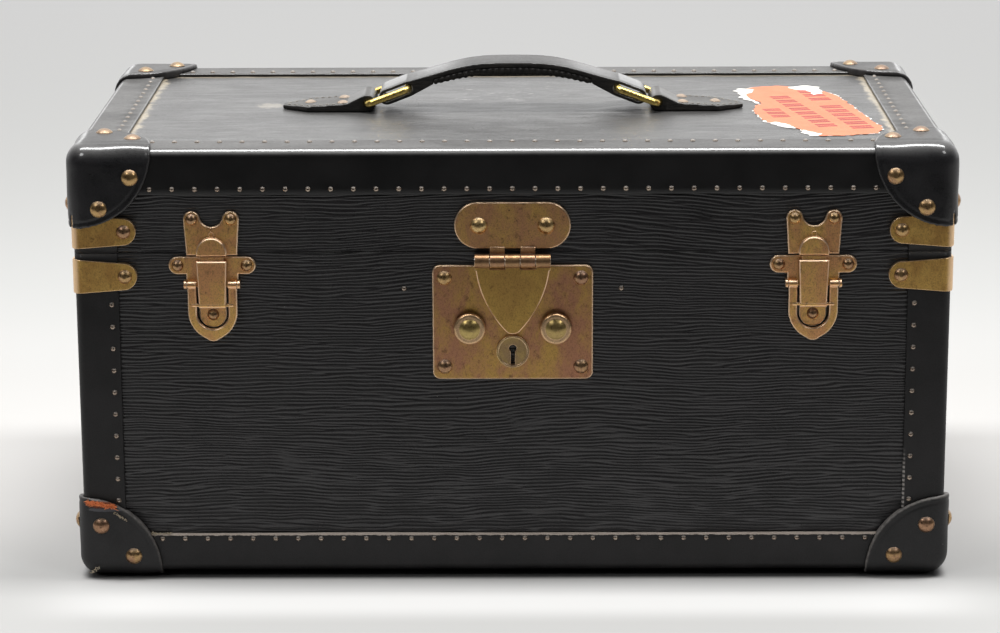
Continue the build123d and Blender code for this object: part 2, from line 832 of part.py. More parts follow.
lever_pins = [
    cylinder_x(
        lever_pin_radius,
        sorted((s * (lever_slot_half + inner_gap), s * (lug_inner + lug_thick))),
        lever_y,
        lever_axis_z,
    )
    for s in signs
]

# Draw latch: the U-shaped lever
lever_edge = (
    Line((-lever_half, lever_axis_z), (lever_half, lever_axis_z))
    + Line((lever_half, lever_axis_z), (lever_half, lever_straight_z))
    + ThreePointArc(
        (lever_half, lever_straight_z), (lever_shoulder_x, lever_shoulder_z), (lever_tip_x, lever_tip_edge)
    )
    + ThreePointArc((lever_tip_x, lever_tip_edge), (0, lever_tip), (-lever_tip_x, lever_tip_edge))
    + ThreePointArc(
        (-lever_tip_x, lever_tip_edge),
        (-lever_shoulder_x, lever_shoulder_z),
        (-lever_half, lever_straight_z),
    )
    + Line((-lever_half, lever_straight_z), (-lever_half, lever_axis_z))
)
lever_slot = Pos(0, (lever_slot_z + lever_axis_z) / 2) * Rectangle(
    2 * lever_slot_half, lever_axis_z - lever_slot_z
) + Pos(0, lever_slot_z) * Circle(lever_slot_half)
latch_lever = extrude(front(lever_back) * (make_face(lever_edge) - lever_slot), amount=lever_thick)
latch_lever = bevelled(latch_lever, 0)
hook_y = -face_y - hook_pin_out
arm_middle = (lever_slot_half + lever_half) / 2
for s in signs:
    arm_span = sorted((s * lever_slot_half, s * lever_half))
    latch_lever += cylinder_x(lever_eye_radius, arm_span, lever_y, lever_axis_z)
    latch_lever -= cylinder_x(lever_pin_radius + running_gap, arm_span, lever_y, lever_axis_z)
hook_pin = cylinder_x(hook_pin_radius, (-arm_middle, arm_middle), hook_y, hook_pin_z)
latch_lever -= hook_pin

# Draw latch: the hook that hangs on the lever
hook_edge = Polyline(
    (-hook_half_low, hook_pin_z),
    (-hook_half_top, hook_top),
    (hook_half_top, hook_top),
    (hook_half_low, hook_pin_z),
    close=True,
)
hook = extrude(front(hook_back) * make_face(hook_edge), amount=hook_thick)
hook = bevelled(hook, 0)
hook += cylinder_x(hook_barrel_radius, (-hook_half_low, hook_half_low), hook_y, hook_pin_z)
hook -= cylinder_x(
    hook_pin_radius + running_gap, (-hook_half_top, hook_half_top), hook_y, hook_pin_z
)
hook += block(
    (-hook_lip_half, hook_lip_half),
    (-face_y - hook_back - hook_thick / 2, -face_y - hook_lip_back),
    (hook_top - hook_fold_high, hook_top),
)
hook += block(
    (-hook_lip_half, hook_lip_half),
    (-face_y - hook_lip_back - hook_lip_thick, -face_y - hook_lip_back),
    (hook_top - hook_fold_high, hook_lip_top),
)


def at_latches(pieces):
    """The pieces of one latch, repeated at both latches."""
    return [Pos(s * latch_x, 0, 0) * piece for s in signs for piece in pieces]


keep("latch_catches", *at_latches([catch_plate]))
keep("latch_bases", *at_latches([latch_base]))
keep("lever_pins", *at_latches(lever_pins))
for name, s in (("left", -1), ("right", 1)):
    latch_place = Pos(s * latch_x, 0, 0)
    keep("latch_lever_" + name, latch_place * latch_lever, latch_place * hook_pin)
    keep("latch_hook_" + name, latch_place * hook)

# Two hinges at the back
hinge_spans = spans(hinge_half)
hinge_y = face_y + barrel_out
leaf_middle = hinge_leaf_start + hinge_leaf_high / 2


def hinge_leaf(up, own_spans):
    """One leaf with its knuckles; up is 1 on the lid and -1 on the body."""
    middle_z = split_z + up * leaf_middle
    outline = Pos(0, middle_z) * RectangleRounded(2 * hinge_half, hinge_leaf_high, hinge_corner)
    leaf = bevelled(extrude(back() * outline, amount=hinge_leaf_thick), -1)
    for span in own_spans:
        arm = sorted((split_z, split_z + up * (hinge_leaf_start + hinge_arm_lap)))
        leaf += knuckle(span, barrel_out, split_z, *arm, barrel_back, hinge_leaf_thick, 1)
    return leaf


def hinge_rivets(up):
    solid = rivet(
        hinge_rivet_head, hinge_rivet_dome, hinge_leaf_thick + leather_thick + shank_in_wood
    )
    places = (
        (-hinge_rivet_x, hinge_rivet_row),
        (hinge_rivet_x, hinge_rivet_row),
        (0, hinge_rivet_low_row),
    )
    return [place(back(hinge_leaf_thick), u, split_z + up * v, solid) for u, v in places]


def at_hinges(pieces):
    return [Pos(s * hinge_x, 0, 0) * piece for s in signs for piece in pieces]


hinge_pin = cylinder_x(pin_radius, (-hinge_half, hinge_half), hinge_y, split_z)
keep("hinge_leaves_body", *at_hinges([hinge_leaf(-1, hinge_spans[0::2])]))
keep("hinge_leaves_lid", *at_hinges([hinge_leaf(1, hinge_spans[1::2])]))
keep("hinge_pins", *at_hinges([hinge_pin]))
keep("body_small_rivets", *at_latches(base_rivets), *at_hinges(hinge_rivets(-1)))
keep("lid_small_rivets", *at_latches(catch_rivets), *at_hinges(hinge_rivets(1)))

# Handle strap: an arched band whose ends fold back round the links
loop_way = Vector(loop_outer_x - loop_inner_x, loop_outer_z - loop_inner_z).normalized()
loop_normal = Vector(-loop_way.Y, loop_way.X)
slot_half = link_rod_radius + loop_gap
fold_half = slot_half + loop_leather
inner_end = Vector(loop_inner_x, loop_inner_z)
outer_end = Vector(loop_outer_x, loop_outer_z)
strap_end = inner_end + loop_normal * fold_half
return_end = inner_end - loop_normal * fold_half


def band(upper_drop, lower_drop):
    """The region between the strap's top line lowered by two distances."""
    right_half = [
        (strap_flank_x, strap_flank_z),
        (strap_neck_x, strap_neck_z),
        (strap_end.X, strap_end.Y),
    ]
    line = [(-x, z) for x, z in reversed(right_half)] + [(0, strap_top)] + right_half
    upper = Spline(*[(x, z - upper_drop) for x, z in line])
    lower = Spline(*[(x, z - lower_drop) for x, z in line])
    ends = [Line(upper @ n, lower @ n) for n in (0, 1)]
    return make_face(upper + lower + ends)


def fold(half, s):
    """The outline of one folded end at this distance from the slot's middle line."""
    a = inner_end
    b = outer_end
    bar = Polyline(
        (s * (a + loop_normal * half).X, (a + loop_normal * half).Y),
        (s * (b + loop_normal * half).X, (b + loop_normal * half).Y),
        (s * (b - loop_normal * half).X, (b - loop_normal * half).Y),
        (s * (a - loop_normal * half).X, (a - loop_normal * half).Y),
        close=True,
    )
    rounds = Pos(s * a.X, a.Y) * Circle(half) + Pos(s * b.X, b.Y) * Circle(half)
    return make_face(bar) + rounds


neck_top = strap_neck_z - strap_thick / 2
strap_outline = band(0, strap_thick)
for s in signs:
    wedge = Polyline(
        (s * pad_end_x, neck_top),
        (s * pad_end_x, strap_neck_z - strap_thick - wedge_drop),
        (s * return_end.X, return_end.Y),
        (s * inner_end.X, inner_end.Y),
        close=True,
    )
    strap_outline += make_face(wedge) + fold(fold_half, s)
for s in signs:
    strap_outline -= fold(slot_half, s)
pad_outline = band(strap_thick, strap_thick + pad_thick)
strap = extrude(Plane.XZ * strap_outline, amount=strap_half, both=True)
pad_reach = block(
    (-pad_end_x, pad_end_x), (-strap_half, strap_half), (leather_top, strap_top)
)
pad = extrude(Plane.XZ * pad_outline, amount=strap_half, both=True) & pad_reach
keep("handle_strap", strap)
keep("handle_pad", pad - strap)

# Rectangular brass links, lying towards the middle of the lid
link_pivot_z = leather_top + chape_loop_radius
link_reach = hypot(link_pivot_x - link_bar_x, link_bar_z - link_pivot_z)
link_tilt = degrees(atan2(link_bar_z - link_pivot_z, link_pivot_x - link_bar_x))
link_path = (
    Pos(link_reach / 2, 0)
    * RectangleRounded(link_reach, 2 * link_half_width, link_corner)
).wires()[0]
link_section = Plane(origin=link_path @ 0, z_dir=link_path % 0) * Circle(link_rod_radius)
flat_link = sweep(link_section, path=link_path)
for name, s in (("left", -1), ("right", 1)):
    turn = Rot(0, -link_tilt, 0) if s < 0 else Rot(0, link_tilt - 180, 0)
    keep("handle_link_" + name, Pos(s * link_pivot_x, 0, link_pivot_z) * turn * flat_link)

# Leather chapes that hold the links on the lid
chape_top_x = link_pivot_x + chape_shoulder
chape_slope = (chape_root_thick - chape_tip_thick) / (chape_tip_x - chape_top_x)
chape_side = Polyline(
    (link_pivot_x, leather_top),
    (chape_tip_x, leather_top),
    (chape_tip_x, leather_top + chape_tip_thick),
    (chape_top_x, leather_top + chape_root_thick),
    (link_pivot_x + chape_loop_radius * chape_wrap_x, link_pivot_z + chape_loop_radius * chape_wrap_z),
    (link_pivot_x, link_pivot_z),
    close=True,
)
chape_profile = make_face(chape_side) + Pos(link_pivot_x, link_pivot_z) * Circle(chape_loop_radius)
chape_profile -= Pos(link_pivot_x, link_pivot_z) * Circle(link_rod_radius + running_gap)
chape_plan = make_face(
    Polyline(
        (link_pivot_x - chape_loop_radius, -strap_half),
        (chape_taper_x, -strap_half),
        (chape_tip_x, -chape_tip_half),
        (chape_tip_x, chape_tip_half),
        (chape_taper_x, strap_half),
        (link_pivot_x - chape_loop_radius, strap_half),
        close=True,
    )
)
chape = extrude(Plane.XZ * chape_profile, amount=strap_half, both=True) & extrude(
    top() * chape_plan, amount=2 * chape_loop_radius
)
chape_places = (
    (chape_rivet_near_x, -chape_rivet_near_y),
    (chape_rivet_near_x, chape_rivet_near_y),
    (chape_rivet_far_x, 0),
)
right_rivets = []
for x, y in chape_places:
    thick = chape_tip_thick + chape_slope * (chape_tip_x - x)
    seat = Plane(origin=(x, y, leather_top + thick), z_dir=(chape_slope, 0, 1))
    solid = rivet(chape_rivet_head, chape_rivet_dome, thick + leather_thick + shank_in_wood)
    right_rivets.append(seat.location * solid)
keep("handle_chapes", chape, chape.mirror(Plane.YZ))
keep("chape_rivets", *right_rivets, *[solid.mirror(Plane.YZ) for solid in right_rivets])

# Ledges and the lift-out tray
tray_top = body_rim - tray_top_below_rim
tray_low = tray_top - tray_high
ledge_top = tray_low - tray_seat_gap
keep(
    "tray_ledges",
    *[
        block(
            sorted((s * (room_x - ledge_depth), s * room_x)),
            (-room_y, room_y),
            (ledge_top - ledge_high, ledge_top),
        )
        for s in signs
    ],
)
tray_inset = room_inset + tray_gap
keep("tray_floor", layer_block(tray_inset, tray_low, tray_low + tray_floor_thick))
tray_walls = wall_panels(tray_inset, tray_wall, tray_low + tray_floor_thick, tray_top)
keep("tray_walls", tray_walls[0], tray_walls[1], *tray_walls[2])
cell_x = half_x - tray_inset - tray_wall
cell_y = half_y - tray_inset - tray_wall
divider_z = (tray_low + tray_floor_thick, tray_low + tray_floor_thick + divider_high)
long_y = -cell_y + 2 * cell_y * tray_front_share
dividers = [block((-cell_x, cell_x), (long_y - divider_thick / 2, long_y + divider_thick / 2), divider_z)]
for cells, y in (
    (front_cells, (-cell_y, long_y - divider_thick / 2)),
    (back_cells, (long_y + divider_thick / 2, cell_y)),
):
    for n in range(1, cells):
        x = -cell_x + 2 * cell_x * n / cells
        dividers.append(block((x - divider_thick / 2, x + divider_thick / 2), y, divider_z))
keep("tray_dividers", *dividers)
tab_z = (tray_top - tab_high, tray_top + tab_above)
keep(
    "tray_tabs",
    *[
        block(
            sorted((s * cell_x, s * (cell_x - tab_thick))),
            (tab_y - tab_width / 2, tab_y + tab_width / 2),
            tab_z,
        )
        for s in signs
    ],
)

# Mirror under the lid
frame_low = lid_ceiling - mirror_frame_thick
glass_low = lid_ceiling - mirror_glass_thick
glass_x = mirror_frame_half_x - mirror_frame_width + mirror_lip
glass_y = mirror_frame_half_y - mirror_frame_width + mirror_lip
mirror_glass = block((-glass_x, glass_x), (-glass_y, glass_y), (glass_low, lid_ceiling))
mirror_frame = block(
    (-mirror_frame_half_x, mirror_frame_half_x),
    (-mirror_frame_half_y, mirror_frame_half_y),
    (frame_low, lid_ceiling),
)
mirror_frame = chamfer(mirror_frame.faces().sort_by(Axis.Z)[0].edges(), mirror_bevel)
mirror_frame -= block(
    (mirror_lip - glass_x, glass_x - mirror_lip),
    (mirror_lip - glass_y, glass_y - mirror_lip),
    (frame_low, lid_ceiling),
)
keep("mirror_frame", mirror_frame - mirror_glass)
keep("mirror_glass", mirror_glass)

# Holes for the rivets, in every piece that they go through
body_corner_layers = (
    "body_corner_caps",
    "body_base_binding",
    "body_corner_bindings",
    "body_brass_angles",
    "body_bottom_panel",
)
body_wall_layers = ("body_leather", "body_front_panel", "body_back_panel", "body_end_panels")
lid_corner_layers = ("lid_corner_caps", "lid_edge_binding", "lid_brass_angles")
lid_wall_layers = ("lid_leather", "lid_top_panel", "lid_front_panel", "lid_back_panel", "lid_end_panels")
drilled = {
    "body_corner_rivets": (*body_corner_layers, *body_wall_layers),
    "lid_corner_rivets": (*lid_corner_layers, *lid_wall_layers),
    "lock_plate_rivets": ("lock_plate", "body_leather", "body_front_panel"),
    "hasp_plate_rivets": ("hasp_plate", "lid_leather", "lid_front_panel"),
    "body_small_rivets": ("latch_bases", "hinge_leaves_body", *body_wall_layers),
    "lid_small_rivets": ("latch_catches", "hinge_leaves_lid", *lid_wall_layers),
    "chape_rivets": ("handle_chapes", "lid_leather", "lid_top_panel"),
}
for fasteners, passed in drilled.items():
    for name in passed:
        nodes[name] = cut(nodes[name], nodes[fasteners])

for name, solids in nodes.items():
    export_step(Compound(children=solids), "parts/" + name + ".step")
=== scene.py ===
from math import cos, exp, hypot, pi, radians, sin

import bmesh
import bpy
import numpy as np
from mathutils import Matrix, Vector


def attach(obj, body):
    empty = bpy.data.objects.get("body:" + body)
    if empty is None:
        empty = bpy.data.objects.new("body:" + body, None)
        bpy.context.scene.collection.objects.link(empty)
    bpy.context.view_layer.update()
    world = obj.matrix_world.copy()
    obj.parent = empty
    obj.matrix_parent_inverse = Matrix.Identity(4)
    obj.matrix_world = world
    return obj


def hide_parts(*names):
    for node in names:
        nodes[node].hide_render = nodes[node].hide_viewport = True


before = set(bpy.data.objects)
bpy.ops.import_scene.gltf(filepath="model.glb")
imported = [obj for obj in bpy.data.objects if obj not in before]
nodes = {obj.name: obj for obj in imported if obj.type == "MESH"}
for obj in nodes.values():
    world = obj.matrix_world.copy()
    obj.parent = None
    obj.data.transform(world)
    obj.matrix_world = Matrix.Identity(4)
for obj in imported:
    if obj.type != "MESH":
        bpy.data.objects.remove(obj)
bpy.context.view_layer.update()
scene = bpy.context.scene

# All lengths below are in millimetres, and every mesh is scaled to metres when it is made
MM = 0.001

# Sizes that the pieces share with the solids
HALF_X = 200.0
HALF_Y = 110.0
UNDER = 2.8
TOP = 203.5
BODY_RIM = 155.35
LID_RIM = 155.65
BINDING = 1.4
LEATHER = 1.2
FACE_X = HALF_X - BINDING
FACE_Y = HALF_Y - BINDING
LEATHER_TOP = TOP - BINDING
LEATHER_BASE = UNDER + BINDING
POST_WIDE = 20.0
BASE_BINDING_TOP = 21.5
BASE_BINDING_IN = 20.0
LID_BINDING_LOW = 182.2
LID_BINDING_IN = 22.0
CORNER = 4.0
CAP_REACH = 36.6
CAP_THICK = 2.8
CAP_FACE_Y = HALF_Y + CAP_THICK
BUTTON_X = 19.7
BUTTON_Z = 120.4
BUTTON_DOME = 4.8
BARREL_Z = 152.0
BARREL_RADIUS = 3.2


# Node helpers
class Look:
    """A node material with short calls for its nodes."""

    def __init__(self, name, **sockets):
        self.material = bpy.data.materials.new(name)
        self.material.use_nodes = True
        self.tree = self.material.node_tree
        self.shader = self.tree.nodes["Principled BSDF"]
        self.place = self.add("TexCoord").outputs["Object"]
        for socket, value in sockets.items():
            self.put(socket.replace("_", " "), value)

    def add(self, kind, values=None, **settings):
        """A node with these settings, and with these values or links on its inputs."""
        node = self.tree.nodes.new("ShaderNode" + kind)
        for name, value in settings.items():
            setattr(node, name, value)
        self.feed(node, values or {})
        return node

    def feed(self, node, values):
        for key, value in values.items():
            if isinstance(value, bpy.types.NodeSocket):
                self.tree.links.new(value, node.inputs[key])
            else:
                node.inputs[key].default_value = value

    def put(self, socket, value):
        self.feed(self.shader, {socket: value})

    def scaled(self, scale):
        """The place in cells per millimetre: scale is one number, or three and perhaps a shift."""
        x, y, z, *shift = scale if isinstance(scale, tuple) else (scale,) * 3
        values = {"Vector": self.place, "Scale": (x / MM, y / MM, z / MM)}
        if shift:
            values["Location"] = shift[0]
        return self.add("Mapping", values).outputs[0]

    def noise(self, scale, detail, rough, distort=0.0):
        values = {"Scale": 1.0, "Detail": detail, "Roughness": rough, "Distortion": distort}
        return self.add("TexNoise", {"Vector": self.scaled(scale), **values}).outputs["Fac"]

    def cells(self, scale):
        return self.add("TexVoronoi", {"Vector": self.scaled(scale), "Scale": 1.0})

    def ramp(self, value, low, high, out_low=0.0, out_high=1.0):
        values = {0: value, 1: low, 2: high, 3: out_low, 4: out_high}
        return self.add("MapRange", values, interpolation_type="SMOOTHSTEP").outputs[0]

    def math(self, kind, a, b=0.0):
        return self.add("Math", {0: a, 1: b}, operation=kind).outputs[0]

    def times(self, a, b):
        return self.math("MULTIPLY", a, b)

    def plus(self, a, b):
        return self.math("ADD", a, b)

    def minus(self, a, b):
        return self.math("SUBTRACT", a, b)

    def size(self, a):
        return self.math("ABSOLUTE", a)

    def mix(self, factor, a, b):
        """Blend two colours; each is a tuple of three numbers or a socket."""
        a, b = [c if isinstance(c, bpy.types.NodeSocket) else (*c, 1.0) for c in (a, b)]
        return self.add("Mix", {0: factor, 6: a, 7: b}, data_type="RGBA").outputs[2]

    def bump(self, height, distance, strength, below=None):
        values = {"Height": height, "Distance": distance * MM, "Strength": strength}
        if below is not None:
            values["Normal"] = below
        return self.add("Bump", values).outputs[0]

    def split(self, vector, axis):
        return self.add("SeparateXYZ", {0: vector}).outputs[axis]

    def part(self, axis):
        return self.split(self.place, axis)

    def part_mm(self, axis):
        return self.math("DIVIDE", self.part(axis), MM)

    def attribute(self, name):
        return self.add("Attribute", attribute_name=name).outputs["Fac"]

    def spot(self, centre, radius, ragged=0.3):
        """A ragged patch: 1 inside the ellipsoid and 0 outside it."""
        shift = tuple(-c / r for c, r in zip(centre, radius))
        scaled = self.scaled((*(1 / r for r in radius), shift))
        length = self.add("VectorMath", {0: scaled}, operation="LENGTH")
        rag = self.noise((0.5, 0.5, 0.5, shift), 6.0, 0.75)
        reach = self.plus(length.outputs["Value"], self.ramp(rag, 0.25, 0.75, -ragged, ragged))
        return self.ramp(reach, 1.1, 0.8)

    def facing(self, axis):
        """How far the surface faces along this axis at rest, from -1 to 1."""
        return self.split(self.add("TexCoord").outputs["Normal"], axis)

    def upward(self, low=0.3, high=0.85):
        """How far the surface faces up at rest, from 0 on a wall to 1 on a top."""
        return self.ramp(self.facing("Z"), low, high)

    def done(self, colour, roughness, normal=None):
        """Set the main sockets and hand over the material."""
        self.put("Base Color", colour)
        self.put("Roughness", roughness)
        if normal is not None:
            self.put("Normal", normal)
        return self.material


# Materials
def specks(look, colour, amount):
    """Tiny pale dust specks scattered over a colour."""
    cells = look.cells(0.23)
    spot = look.ramp(cells.outputs["Distance"], 0.05, 0.02)
    chosen = look.math("GREATER_THAN", look.split(cells.outputs["Color"], "X"), 1.0 - amount)
    return look.mix(look.times(spot, chosen), colour, (0.42, 0.40, 0.37))


DUST_SHARE = 0.8


def dusted(look, colour, dust=(0.115, 0.113, 0.109)):
    """Thin dust on the faces that look up."""
    cloud = look.noise((0.02, 0.05, 0.05), 5.0, 0.6)
    grain = look.noise((0.9, 2.2, 2.2), 2.0, 0.6)
    amount = look.times(look.ramp(cloud, 0.25, 0.75, 0.55, 1.0), look.ramp(grain, 0.3, 0.7, 0.7, 1.0))
    amount = look.times(look.times(amount, look.upward()), DUST_SHARE)
    return look.mix(amount, colour, dust)


def grained_leather():
    look = Look("grained_leather", Specular_IOR_Level=0.55)
    ridge = look.attribute("ridge")
    fine = look.noise((0.8, 2.4, 2.4), 4.0, 0.65)
    patch = look.noise((0.012, 0.02, 0.02), 4.0, 0.6)
    # Painted shade: the grain's valleys are coloured far darker than its crowns, following the stored ridge
    # height
    valley_shade = (0.0022, 0.0020, 0.0022)
    crown = look.mix(look.ramp(patch, 0.3, 0.7), (0.0100, 0.0088, 0.0096), (0.0165, 0.0148, 0.0160))
    colour = look.mix(look.ramp(ridge, 0.15, 0.75), valley_shade, crown)
    grit = look.noise((1.1, 1.9, 1.9, (5, 2, 8)), 3.0, 0.75)
    colour = look.mix(look.ramp(grit, 0.35, 0.75, 0.0, 0.55), colour, (0.0245, 0.0225, 0.0235))
    colour = specks(look, dusted(look, colour), 0.06)
    colour = edge_dust(look, rubbed_and_lit_top(look, colour))
    gloss = look.ramp(look.plus(fine, look.times(ridge, -0.25)), 0.0, 1.0, 0.26, 0.54)
    micro = look.noise((1.6, 3.4, 3.4), 3.0, 0.6)
    return look.done(colour, gloss, look.bump(micro, 0.05, 0.6, look.bump(fine, 0.10, 0.5)))


def rubbed_and_lit_top(look, colour):
    """Pale level scratches behind the handle, which also paint light on the top there beside the handle's
    shadow, and a rubbed place beside the left chape.
    """
    flecks = look.noise((0.10, 0.75, 0.75, (6, 2, 5)), 4.0, 0.65)
    lit_zone = look.spot((4.0, 40.0, LEATHER_TOP), (36.0, 34.0, 9.0))
    mark = look.times(look.ramp(flecks, 0.62, 0.70, 0.0, 0.8), lit_zone)
    colour = look.mix(mark, colour, (0.55, 0.53, 0.50))
    beside = look.spot((-118.0, 7.0, LEATHER_TOP), (6.0, 6.5, 5.0), 0.6)
    return look.mix(look.times(beside, 0.45), colour, (0.34, 0.30, 0.24))


def edge_dust(look, colour):
    """Beige dust packed along the inner edge of the lid's top binding."""
    x = look.size(look.part_mm("X"))
    y = look.size(look.part_mm("Y"))
    rag = look.noise(0.10, 6.0, 0.75)
    shift = look.ramp(rag, 0.2, 0.8, -3.4, 3.0)
    from_side = look.plus(look.minus(HALF_X - LID_BINDING_IN, x), shift)
    from_back = look.plus(look.minus(HALF_Y - LID_BINDING_IN, y), look.times(shift, 0.45))
    side = look.ramp(from_side, 3.4, 0.6)
    back = look.times(look.ramp(from_back, 4.5, 0.5), 0.7)
    line = look.math("MAXIMUM", side, back)
    grit = look.noise(0.7, 4.0, 0.7)
    line = look.times(line, look.ramp(grit, 0.25, 0.58, 0.35, 1.0))
    line = look.times(line, look.ramp(look.part_mm("Z"), LEATHER_TOP - 3.0, LEATHER_TOP - 2.0))
    return look.mix(line, colour, (0.38, 0.325, 0.24))


def worn_lip(look, colour):
    """The rubbed top lip of the base binding, down to the pale core of the leather."""
    off = look.size(look.minus(look.part_mm("Z"), BASE_BINDING_TOP - 0.25))
    rag = look.noise((0.3, 0.3, 0.3, (3, 1, 4)), 5.0, 0.75)
    line = look.ramp(look.plus(off, look.ramp(rag, 0.3, 0.7, -0.25, 0.30)), 0.95, 0.5)
    return look.mix(line, colour, (0.50, 0.43, 0.375))


def worn_stitches(look, colour):
    """Pale rubbed stitches low on the inner edge of the right front upright."""
    off = look.size(look.minus(look.part_mm("X"), HALF_X - POST_WIDE + 0.4))
    z = look.part_mm("Z")
    beat = look.math("SINE", look.times(z, 2 * pi / 2.1))
    low = look.times(look.ramp(z, 64.0, 50.0), look.ramp(look.part_mm("Y"), 0.0, -90.0))
    line = look.times(look.ramp(off, 0.9, 0.5), look.ramp(beat, -0.4, 0.3, 0.1, 0.8))
    return look.mix(look.times(line, low), colour, (0.40, 0.37, 0.35))


def cap_wear_and_highlight(look, colour):
    """Pale rims, rubbed on the body's caps and a painted highlight line on the lid's caps, one cap torn open
    at its top edge, and a few scuffs.
    """
    rag = look.noise((0.4, 0.4, 0.4, (2, 8, 1)), 5.0, 0.75)
    rim = look.times(look.attribute("edge"), look.ramp(rag, 0.3, 0.6, 0.35, 1.0))
    colour = look.mix(rim, colour, (0.27, 0.25, 0.235))
    for centre, radius, pale, share in (
        (TEAR_AT, (7.8, 3.0, 1.7), (0.17, 0.045, 0.016), 1.0),
        ((-190.0, -CAP_FACE_Y, 33.9), (9.0, 3.0, 0.8), (0.085, 0.085, 0.095), 0.9),
    ):
        spot = look.times(look.spot(centre, radius, 0.35), share)
        colour = look.mix(spot, colour, pale)
    return colour


def smooth_leather(name, roughness, tone, coat=0.6, wear=(), dust=0.125):
    """Polished leather with fine pores, faint scratches and soft creases."""
    look = Look(name + "_leather", Specular_IOR_Level=0.3, Coat_Roughness=0.05)
    level = look.upward(0.93, 0.995)
    aside = look.ramp(look.size(look.facing("X")), 0.25, 0.6, 1.0, 0.2)
    polish = look.times(aside, look.ramp(look.upward(0.05, 0.4), 0.0, 1.0, coat * 0.4, coat))
    look.put("Coat Weight", look.times(polish, look.ramp(level, 0.0, 1.0, 1.0, 0.12)))
    pores = look.cells(2.2)
    cloud = look.noise(0.05, 5.0, 0.6)
    scratch = look.noise((0.5, 0.5, 3.0, (4, 9, 2)), 4.0, 0.7, 0.4)
    dark = tuple(c * 0.45 for c in tone)
    grit = look.noise((1.5, 1.5, 1.5, (7, 1, 3)), 4.0, 0.7)
    colour = look.mix(look.ramp(look.plus(cloud, grit), 0.75, 1.25), dark, tuple(c * 1.2 for c in tone))
    scuff = look.noise((0.03, 0.03, 0.14, (1, 3, 7)), 8.0, 0.75)
    colour = look.mix(look.ramp(scuff, 0.69, 0.80, 0.0, 0.30), colour, (0.30, 0.27, 0.24))
    colour = specks(look, dusted(look, colour, (dust, dust * 0.976, dust * 0.944)), 0.05)
    for worn in wear:
        colour = worn(look, colour)
    gloss = look.ramp(look.plus(cloud, scratch), 0.6, 1.4, roughness - 0.07, roughness + 0.12)
    gloss = look.plus(gloss, look.times(level, 0.22))
    pore_bump = look.bump(look.ramp(pores.outputs["Distance"], 0.0, 0.5), 0.03, 0.35)
    return look.done(colour, gloss, look.bump(scratch, 0.08, 0.3, look.bump(cloud, 0.5, 0.35, pore_bump)))


def cut_edge_leather():
    """The rough layered edge of thick leather."""
    look = Look("cut_leather_edge", Specular_IOR_Level=0.35)
    layers = look.noise((0.12, 0.12, 1.6), 5.0, 0.7)
    fibre = look.noise((0.7, 0.7, 2.4), 4.0, 0.7)
    colour = look.mix(look.ramp(layers, 0.35, 0.75), (0.007, 0.0065, 0.006), (0.032, 0.028, 0.024))
    rough = look.ramp(fibre, 0.2, 0.8, 0.55, 0.85)
    return look.done(colour, rough, look.bump(fibre, 0.25, 0.8, look.bump(layers, 0.3, 0.6)))


# The pale colour of the brass edges: partly rubbed metal, partly a painted highlight
RUBBED_HIGHLIGHT_BRASS = (0.95, 0.70, 0.48)
BARREL_BRASS = (0.27, 0.155, 0.105)
COLLAR_BRASS = (0.66, 0.44, 0.25)
DARK_BRASS = (0.10, 0.052, 0.036)


